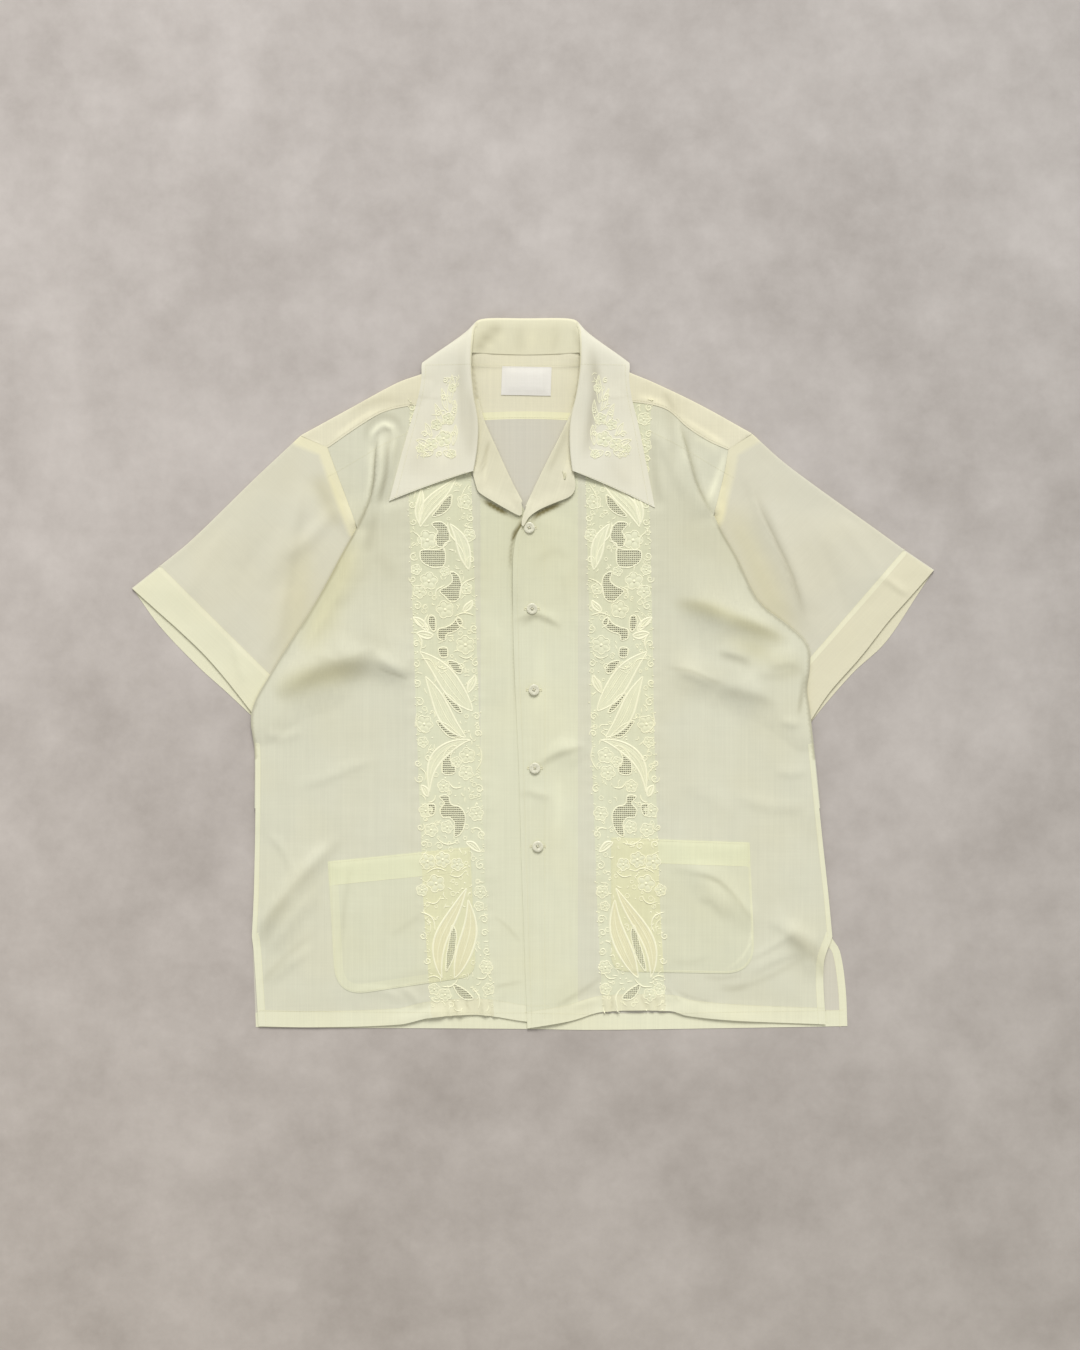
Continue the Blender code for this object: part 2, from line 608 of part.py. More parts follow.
def collar_section(station, left):
    """The collar's middle line at one station: stand, rolled crest and fall."""
    drop = station.left_drop if left else 0.0
    outward = Vector((1 if left else -1, 0, 0))

    def place(x, y, z):
        return Vector((collar_side(x, y, left), y, z))

    seam = place(station.seam_x, station.seam_y, station.seam_z)
    crest = place(station.crest_x, station.crest_y, station.crest_z)
    belly = place(station.belly_x, station.belly_y - drop / 2, station.belly_z)
    edge = place(station.edge_x, station.edge_y - drop, station.edge_z)
    turn = math.radians(station.turn)
    away = crest - belly
    away.z = 0
    away.normalize()
    side = outward * math.sin(turn) + Vector((0, 0, math.cos(turn)))
    side = (side - away * side.dot(away) * CREST_LEAN).normalized()
    points = [seam.lerp(crest - side * station.radius, t) for t in STAND_SHARES]
    for k in range(CREST_FACETS + 1):
        angle = math.pi * k / CREST_FACETS
        points.append(crest + (away * math.sin(angle) - side * math.cos(angle)) * station.radius)
    leave = points[-1]
    for k in range(1, FALL_FACETS + 1):
        t = k / FALL_FACETS
        points.append(leave * (1 - t) * (1 - 2 * t) + belly * 4 * t * (1 - t) + edge * t * (2 * t - 1))
    return points


def build_collar(looks):
    """The collar, lofted through its stations from one notch round the neck to the other."""
    sections = [collar_section(s, False) for s in COLLAR]
    sections += [collar_section(s, True) for s in COLLAR[-2::-1]]
    mesh = bmesh.new()
    rows = []
    for across in zip(*sections):
        line = []
        for i in range(len(across) - 1):
            start, end = across[i], across[i + 1]
            before = across[i - 1] if i else start
            after = across[i + 2] if i + 2 < len(across) else end
            for k in range(COLLAR_STATIONS):
                t = k / COLLAR_STATIONS
                line.append(start * (2 * t**3 - 3 * t**2 + 1) + (end - before) / 2 * (t**3 - 2 * t**2 + t)
                            + end * (3 * t**2 - 2 * t**3) + (after - start) / 2 * (t**3 - t**2))
        line.append(across[-1])
        rows.append([mesh.verts.new(Vector((p.x, p.y, max(p.z, COLLAR_CLOTH / 2))) * MM) for p in line])
    add_rows(mesh, rows)
    cloth("collar", mesh, looks["collar"], COLLAR_CLOTH)


def build_button(number, x, y, height, looks):
    """A button: a disc with a raised rim round a shallow dish."""
    radius = BUTTON_DIAMETER / 2
    dish = BUTTON_THICKNESS - BUTTON_DISH
    profile = ((0.0, 0.0), (radius - BUTTON_FOOT_INSET, 0.0), (radius, BUTTON_EDGE_HEIGHT),
               (radius - BUTTON_SHOULDER_INSET, BUTTON_THICKNESS - BUTTON_SHOULDER_DROP),
               (radius - BUTTON_RIM, BUTTON_THICKNESS), (radius - 2 * BUTTON_RIM, dish), (0.0, dish))
    base = height(x, y) + CLOTH / 2 + AIR
    mesh = bmesh.new()
    rings = []
    for r, z in profile:
        if r == 0.0:
            rings.append([mesh.verts.new(Vector((x, y, base + z)) * MM)])
            continue
        rings.append([mesh.verts.new(Vector((x + r * math.cos(a), y + r * math.sin(a), base + z)) * MM)
                      for a in (2 * math.pi * k / BUTTON_SIDES for k in range(BUTTON_SIDES))])
    for low, high in zip(rings, rings[1:]):
        for k in range(BUTTON_SIDES):
            following = (k + 1) % BUTTON_SIDES
            if len(low) == 1:
                mesh.faces.new((low[0], high[following], high[k]))
            elif len(high) == 1:
                mesh.faces.new((low[k], low[following], high[0]))
            else:
                mesh.faces.new((low[k], low[following], high[following], high[k]))
    bmesh.ops.recalc_face_normals(mesh, faces=mesh.faces)
    name = f"button_{number}"
    data = bpy.data.meshes.new(name)
    mesh.to_mesh(data)
    mesh.free()
    data.materials.append(looks["pearl"])
    bpy.context.scene.collection.objects.link(bpy.data.objects.new(name, data))


def main():
    clear_scene()
    looks = {"cloth": material("linen_cloth", CREAM, CLOTH_ROUGHNESS),
             "collar": material("collar_cloth", COLLAR_CREAM, CLOTH_ROUGHNESS),
             "label": material("label_tape", LABEL_WHITE, CLOTH_ROUGHNESS),
             "pearl": material("pearl_button", PEARL, PEARL_ROUGHNESS)}
    build_back(looks)
    build_yoke(looks)
    build_sleeve("sleeve_right", RIGHT_SLEEVE, RIGHT_FRONT, looks)
    build_sleeve("sleeve_left", LEFT_SLEEVE, LEFT_FRONT, looks)
    right = build_front("front_right", RIGHT_FRONT, RIGHT_SLEEVE, RIGHT_FACING, RIGHT_POCKET, looks)
    left = build_front("front_left", LEFT_FRONT, LEFT_SLEEVE, LEFT_FACING, LEFT_POCKET, looks)
    build_facing("facing_right", RIGHT_FACING, right, looks)
    build_facing("facing_left", LEFT_FACING, left, looks)
    build_collar(looks)
    for number, (x, y) in enumerate(BUTTONS, 1):
        build_button(number, x, y, left, looks)


main()
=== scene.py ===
"""Looks of a laid-out guayabera shirt: fine cloth shells, embroidery, net, stitching and buttons.

Sizes are in millimetres until a point enters a mesh. Right and left are the wearer's.
"""

import math
import random
from collections import namedtuple

import bmesh
import bpy
import numpy as np
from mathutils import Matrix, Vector, noise
from mathutils.bvhtree import BVHTree
from mathutils.geometry import delaunay_2d_cdt
from mathutils.kdtree import KDTree


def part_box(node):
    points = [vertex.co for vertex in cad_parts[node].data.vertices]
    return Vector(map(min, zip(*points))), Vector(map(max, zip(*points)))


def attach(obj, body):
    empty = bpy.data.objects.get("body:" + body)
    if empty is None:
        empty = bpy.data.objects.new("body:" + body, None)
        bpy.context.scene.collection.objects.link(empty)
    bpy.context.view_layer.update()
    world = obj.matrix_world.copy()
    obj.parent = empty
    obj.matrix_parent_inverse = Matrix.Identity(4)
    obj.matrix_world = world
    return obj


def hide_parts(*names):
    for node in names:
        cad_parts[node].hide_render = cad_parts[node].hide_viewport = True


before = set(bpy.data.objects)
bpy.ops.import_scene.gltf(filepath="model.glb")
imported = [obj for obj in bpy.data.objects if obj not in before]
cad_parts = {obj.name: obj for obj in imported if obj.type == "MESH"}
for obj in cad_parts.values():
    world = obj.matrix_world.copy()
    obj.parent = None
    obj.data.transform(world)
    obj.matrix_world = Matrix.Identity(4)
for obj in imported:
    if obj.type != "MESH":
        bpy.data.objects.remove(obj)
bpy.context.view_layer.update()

MM = 0.001

# The solids' layers, as in the part
CLOTH = 1.1
AIR = 0.45
LAYER = CLOTH + AIR
FOLDED = 2.0
FACING_GAP = 0.9
YOKE_END_GAP = 1.4
UNDERARM_GAP = 2.2
FLOOR_LAYER = CLOTH / 2
FRONT_LAYER = FLOOR_LAYER + LAYER
COLLAR_CLOTH = 1.3

# The real cloth, and how finely its shells are divided
THIN = 0.38
BACK_MIDDLE = 0.3
FRONT_STEP = 2.6
SLEEVE_STEP = 3.2
BACK_STEP = 5.0
YOKE_STEP = 3.2
ROLL_FACETS = 6
COARSE = 15
ABOVE_ALL = 200.0

# Edges seen from above, x and y. Each edge is a smooth curve through its points.
Front = namedtuple("Front", "hem vent side fold armhole yoke neck edge hidden_side hidden_armhole")
RIGHT_FRONT = Front(
    hem=((17, -364), (-7, -364), (-57, -357), (-108, -360), (-140, -367), (-230, -370), (-288, -369)),
    vent=((-288, -369), (-293, -292), (-295, -275)),
    side=((-295, -275), (-293, -230), (-291, -140)),
    fold=((-291, -140), (-291, -80), (-294, -40), (-275, -1), (-228, 73), (-197, 130), (-184, 153)),
    armhole=((-184, 153), (-192, 175), (-203, 204), (-216, 239)),
    yoke=((-216, 239), (-181, 263), (-156, 277), (-123, 284), (-66, 289)),
    neck=((-10, 174), (2, 158), (13, 146)),
    edge=((13, 146), (17, 130), (17, -364)),
    hidden_side=((-291, -140), (-278, -105), (-260, -60), (-236, -12)),
    hidden_armhole=((-236, -12), (-212, 12), (-194, 45), (-184, 80), (-181, 120), (-184, 153)))
LEFT_FRONT = Front(
    hem=((-6, -371), (7, -369), (41, -363), (73, -354), (144, -353), (162, -358), (212, -363), (307, -367)),
    vent=((307, -367), (305, -304), (314, -275)),
    side=((314, -275), (310, -232), (300, -140)),
    fold=((300, -140), (294, -80), (289, -38), (286, -14), (289, 8), (287, 30), (268, 50), (236, 76),
          (212, 123), (196, 151), (189, 166)),
    armhole=((189, 166), (195, 189), (201, 213), (205, 237)),
    yoke=((205, 237), (185, 246), (163, 260), (141, 279), (113, 286), (54, 290)),
    neck=((-7, 172), (-9, 160)),
    edge=((-9, 160), (-17, 146), (-21, 118), (-20, 22), (-15, -96), (-12, -200), (-6, -371)),
    hidden_side=((300, -140), (286, -105), (264, -62), (236, -14)),
    hidden_armhole=((236, -14), (214, 12), (200, 45), (190, 80), (187, 125), (189, 166)))

Sleeve = namedtuple("Sleeve", "top cuff_front cuff_back corner underarm back_armhole yoke_armhole cuff_line")
RIGHT_SLEEVE = Sleeve(
    top=((-243, 250), (-289, 207), (-358, 140), (-391, 113), (-420, 90)),
    cuff_front=((-420, 90), (-391, 64), (-372, 47), (-344, 20), (-319, -9), (-284, -54)),
    cuff_back=((-420, 90), (-392, 51), (-352, 9), (-320, -20), (-284, -54)),
    corner=(-284, -54),
    underarm=((-284, -54), (-236, -12)),
    back_armhole=((-236, -12), (-214, 16), (-201, 60), (-198, 110), (-202, 160), (-216, 205)),
    yoke_armhole=((-216, 205), (-243, 250)),
    cuff_line=((-392, 115), (-276, 0)))
LEFT_SLEEVE = Sleeve(
    top=((229, 252), (266, 219), (364, 148), (389, 130), (420, 109)),
    cuff_front=((420, 109), (397, 83), (373, 56), (344, 19), (310, -20), (284, -60)),
    cuff_back=((420, 109), (405, 86), (370, 34), (337, 3), (306, -32), (284, -60)),
    corner=(284, -60),
    underarm=((284, -60), (236, -14)),
    back_armhole=((236, -14), (214, 16), (203, 60), (199, 110), (201, 160), (210, 205)),
    yoke_armhole=((210, 205), (229, 252)),
    cuff_line=((390, 132), (284, 10)))

BACK_HEM = ((-291, -370), (-157, -371), (-7, -372), (62, -373), (212, -371), (330, -369))
BACK_VENT_LEFT = ((330, -369), (328, -328), (322, -290), (314, -277))
BACK_SIDE_LEFT = ((314, -277), (309, -232), (299, -140), (291, -68))
BACK_SIDE_RIGHT = ((-291, -60), (-290, -140), (-292, -230), (-294, -277), (-291, -370))
BACK_YOKE_SEAM = ((210, 205), (112, 257), (36, 267), (-52, 267), (-119, 257), (-216, 205))

SHOULDER_RIGHT = ((-242.8, 250.2), (-192, 278), (-142, 305), (-112, 316), (-62, 341))
SHOULDER_LEFT = ((228.8, 252.2), (175, 282), (127, 305), (98, 317), (47, 341))
BACK_NECK = ((-62, 341), (-45, 338), (-6, 337), (32, 338), (47, 341))
STRAP_NECK_RIGHT = ((-62, 341), (-66, 315), (-67, 290))
STRAP_NECK_LEFT = ((47, 341), (52, 315), (54, 291))

Facing = namedtuple("Facing", "roll seam free")
RIGHT_FACING = Facing(
    roll=((-12, 181), (-24, 204), (-40, 239), (-52, 266), (-58, 289)),
    seam=((-58, 289), (-66, 286), (-66, 240), (-63, 210)),
    free=((-63, 210), (-58, 193), (-54, 189), (-41, 181), (-27, 173), (-14, 166.5), (-11.5, 168), (-12, 181)))
LEFT_FACING = Facing(
    roll=((-7, 176), (11, 214), (37, 266), (46, 289)),
    seam=((46, 289), (52, 286), (48, 240), (43, 210)),
    free=((43, 210), (44, 195), (39, 187), (24, 180.5), (7, 173), (-4, 165), (-10.5, 155), (-12, 157),
          (-10.5, 166), (-7, 176)))

Pocket = namedtuple("Pocket", "top_inner top_outer low_outer low_inner")
RIGHT_POCKET = Pocket((-66, -181), (-215, -196), (-207, -338), (-60, -316))
LEFT_POCKET = Pocket((82, -171), (227, -176), (233, -314), (82, -311))
POCKET_CORNER = 34.0
POCKET_HEM = 25.0
POCKET_STANDS = 0.45
# What is turned in at each pocket's edge
POCKET_TURNED = {"front_right": 9.5, "front_left": 2.4}

BUTTONS = ((-4, 154), (-1, 69), (1, -16), (2, -98), (5, -180))
BUTTON_DIAMETER = 11.4

LABEL_CENTRE = (-7, 308)
LABEL_SIZE = (53, 31)
LABEL_STANDS = 0.7
LABEL_STEP = 2.0

# Folds of the solids, by piece: x and y of both ends, width, height
FOLDS = {
    "front_right": (
        (-118, 2, -214, 24, 15, 4.0),
        (-206, 24, -272, -22, 13, 3.2),
        (-212, -178, -287, -286, 16, 3.0),
        (-160, 250, -178, 150, 10, 3.4),
        (-142, 262, -150, 168, 8, 2.4),
        (-40, 60, -28, -40, 13, 1.6),
    ),
    "front_left": (
        (150, 82, 262, 42, 15, 4.2),
        (138, 8, 250, -28, 16, 3.6),
        (158, -200, 240, -268, 11, 2.6),
        (262, -262, 305, -318, 11, 2.6),
        (158, 240, 182, 160, 11, 2.6),
        (20, -70, 52, -92, 11, 1.6),
    ),
    "sleeve_left": (
        (232, 190, 292, 60, 14, 3.0),
        (300, 178, 352, 70, 20, 1.6),
    ),
    "sleeve_right": (
        (-262, 200, -330, 30, 20, 2.0),
    ),
}
# Smaller creases that only the thin cloth has: height, width on the left of a line and on its right, the line
CREASES = {
    "front_right": (
        (3.6, 36, 17, ((-276, -20), (-238, 2), (-213, 17), (-190, 15), (-170, 25), (-148, 12), (-124, -7))),
        (1.5, 8, 5, ((-166, 20), (-146, 8), (-128, -1))),
        (2.0, 12, 9, ((-244, 30), (-222, 62), (-200, 108), (-184, 140))),
        (1.2, 9, 7, ((-206, 70), (-190, 96), (-170, 130))),
        (2.2, 3.4, 3.4, ((-170, 238), (-167, 253), (-157, 262), (-148, 258), (-144, 244))),
        (3.0, 3.4, 3.4, ((-159, 256), (-159, 228), (-160, 206), (-167, 178))),
        (2.2, 4.2, 4.2, ((-145, 256), (-146, 228), (-149, 202))),
        (2.4, 12, 8, ((-200, -166), (-238, -204), (-262, -238), (-286, -281))),
        (1.2, 8, 6, ((-222, -222), (-250, -256), (-284, -300))),
        (0.9, 7, 5, ((-284, -330), (-250, -300), (-226, -284))),
        (0.9, 6, 4, ((-286, -160), (-262, -184), (-250, -214))),
        (0.8, 8, 5, ((-250, -120), (-206, -104), (-160, -84))),
        (0.8, 6, 5, ((-286, -60), (-262, -66), (-240, -58))),
        (0.9, 5, 4, ((-36, -255), (-26, -268), (-14, -278))),
        (0.8, 5, 3, ((-40, -326), (-28, -323), (-12, -327))),
        (0.9, 5, 4, ((-40, -345), (-28, -330), (-20, -318))),
        (0.8, 6, 4, ((-132, -344), (-160, -330), (-196, -334))),
        (1.0, 5, 4, ((-116, -352), (-124, -338), (-140, -326))),
        (0.7, 8, 7, ((-36, 118), (-34, 80), (-30, 40))),
        (1.5, 9, 7, ((-36, 60), (-30, 20), (-24, -30))),
        (0.6, 10, 8, ((-42, -100), (-40, -180), (-34, -250))),
    ),
    "front_left": (
        (2.2, 28, 14, ((138, 88), (172, 80), (218, 62), (274, 46))),
        (1.7, 14, 5, ((194, 27), (212, 22), (230, 17))),
        (1.2, 22, 10, ((140, 14), (186, -2), (214, -10), (256, -26))),
        (1.2, 7, 5, ((146, 6), (168, 0), (192, -12))),
        (1.6, 14, 6, ((244, 9), (266, 14), (288, 12))),
        (0.9, 6, 4, ((256, -48), (272, -52), (290, -48))),
        (0.8, 7, 5, ((252, -98), (270, -104), (296, -98))),
        (0.9, 9, 7, ((206, -120), (240, -136), (296, -140))),
        (0.7, 12, 9, ((150, -110), (186, -128), (216, -150))),
        (1.4, 11, 4, ((140, -203), (172, -205), (197, -214), (214, -238), (238, -262))),
        (1.0, 7, 5, ((168, -232), (188, -236), (204, -256))),
        (1.9, 13, 7, ((240, -250), (270, -270), (296, -292), (306, -312))),
        (0.9, 8, 4, ((222, -316), (252, -300), (284, -288))),
        (0.8, 5, 3, ((222, -300), (250, -286), (280, -266))),
        (1.0, 5, 4, ((116, -348), (130, -338), (160, -342))),
        (0.8, 5, 4, ((118, -356), (140, -346), (186, -350))),
        (1.1, 6, 4, ((72, -340), (58, -344), (38, -352))),
        (0.8, 7, 5, ((26, 130), (36, 90), (48, 40))),
        (1.4, 7, 3, ((-22, 56), (-10, 60), (2, 64), (18, 58), (32, 50))),
        (1.2, 8, 4, ((2, -98), (14, -88), (28, -81), (58, -74))),
        (0.8, 6, 4, ((-18, -128), (-4, -124), (20, -130))),
        (0.6, 8, 6, ((20, -190), (30, -240), (38, -300))),
        (1.4, 8, 6, ((122, 266), (136, 240), (152, 206), (166, 176))),
        (0.9, 6, 5, ((112, 248), (124, 214), (140, 178))),
    ),
    "sleeve_right": (
        (2.2, 13, 10, ((-238, 206), (-250, 160), (-282, 84))),
        (2.2, 9, 8, ((-204, 182), (-226, 152), (-262, 118))),
        (1.2, 10, 8, ((-262, 96), (-266, 60), (-276, 20))),
        (1.2, 6, 4, ((-318, 38), (-310, 18), (-303, -10))),
        (0.7, 10, 8, ((-302, 170), (-340, 124), (-372, 72))),
        (-0.6, 8, 8, ((-262, 168), (-300, 110), (-322, 44))),
    ),
    "sleeve_left": (
        (0.8, 9, 7, ((318, 168), (352, 124), (372, 88))),
        (1.3, 5, 2.5, ((362, 106), (382, 91), (402, 76))),
        (0.9, 6, 5, ((222, 216), (232, 184), (244, 150))),
        (-0.6, 7, 7, ((292, 150), (318, 96), (330, 50))),
    ),
}
# Where the cloth laps over itself beside the armholes: height and reach of the ground on a line's left, the line
LAPS = {
    "front_right": (
        (1.8, 24, ((-162, 257), (-163, 246), (-165, 233), (-166, 215), (-167, 201), (-170, 187), (-174, 175),
         (-180, 161), (-184, 153))),
    ),
    "front_left": (
        (1.7, 26, ((189, 164), (181, 178), (170, 202), (163, 228), (157, 249), (152, 270))),
    ),
    "sleeve_left": (
        (0.8, 22, ((286, 44), (280, 73), (270, 105), (254, 139), (240, 168), (228, 200))),
    ),
}
LAP_EDGE = 0.35
LAP_GROOVE = 0.9
LAP_GROOVE_WIDTH = 1.1
# Free edges that stand off what lies under them, with the creases' columns
LIFTS = {
    "front_left": (
        (2.2, 9, 9, ((2, 184), (-8, 166), (-17, 146), (-20, 112), (-20, 60))),
        (0.3, 9, 9, ((-20, 40), (-19, 10), (-18, -30))),
        (1.2, 9, 7, ((120, -356), (156, -352), (200, -360), (250, -366))),
    ),
    "front_right": (
        (1.4, 10, 8, ((-40, -360), (-80, -356), (-130, -362), (-170, -370))),
        (1.2, 8, 8, ((-270, -1), (-232, 66), (-196, 130))),
    ),
}
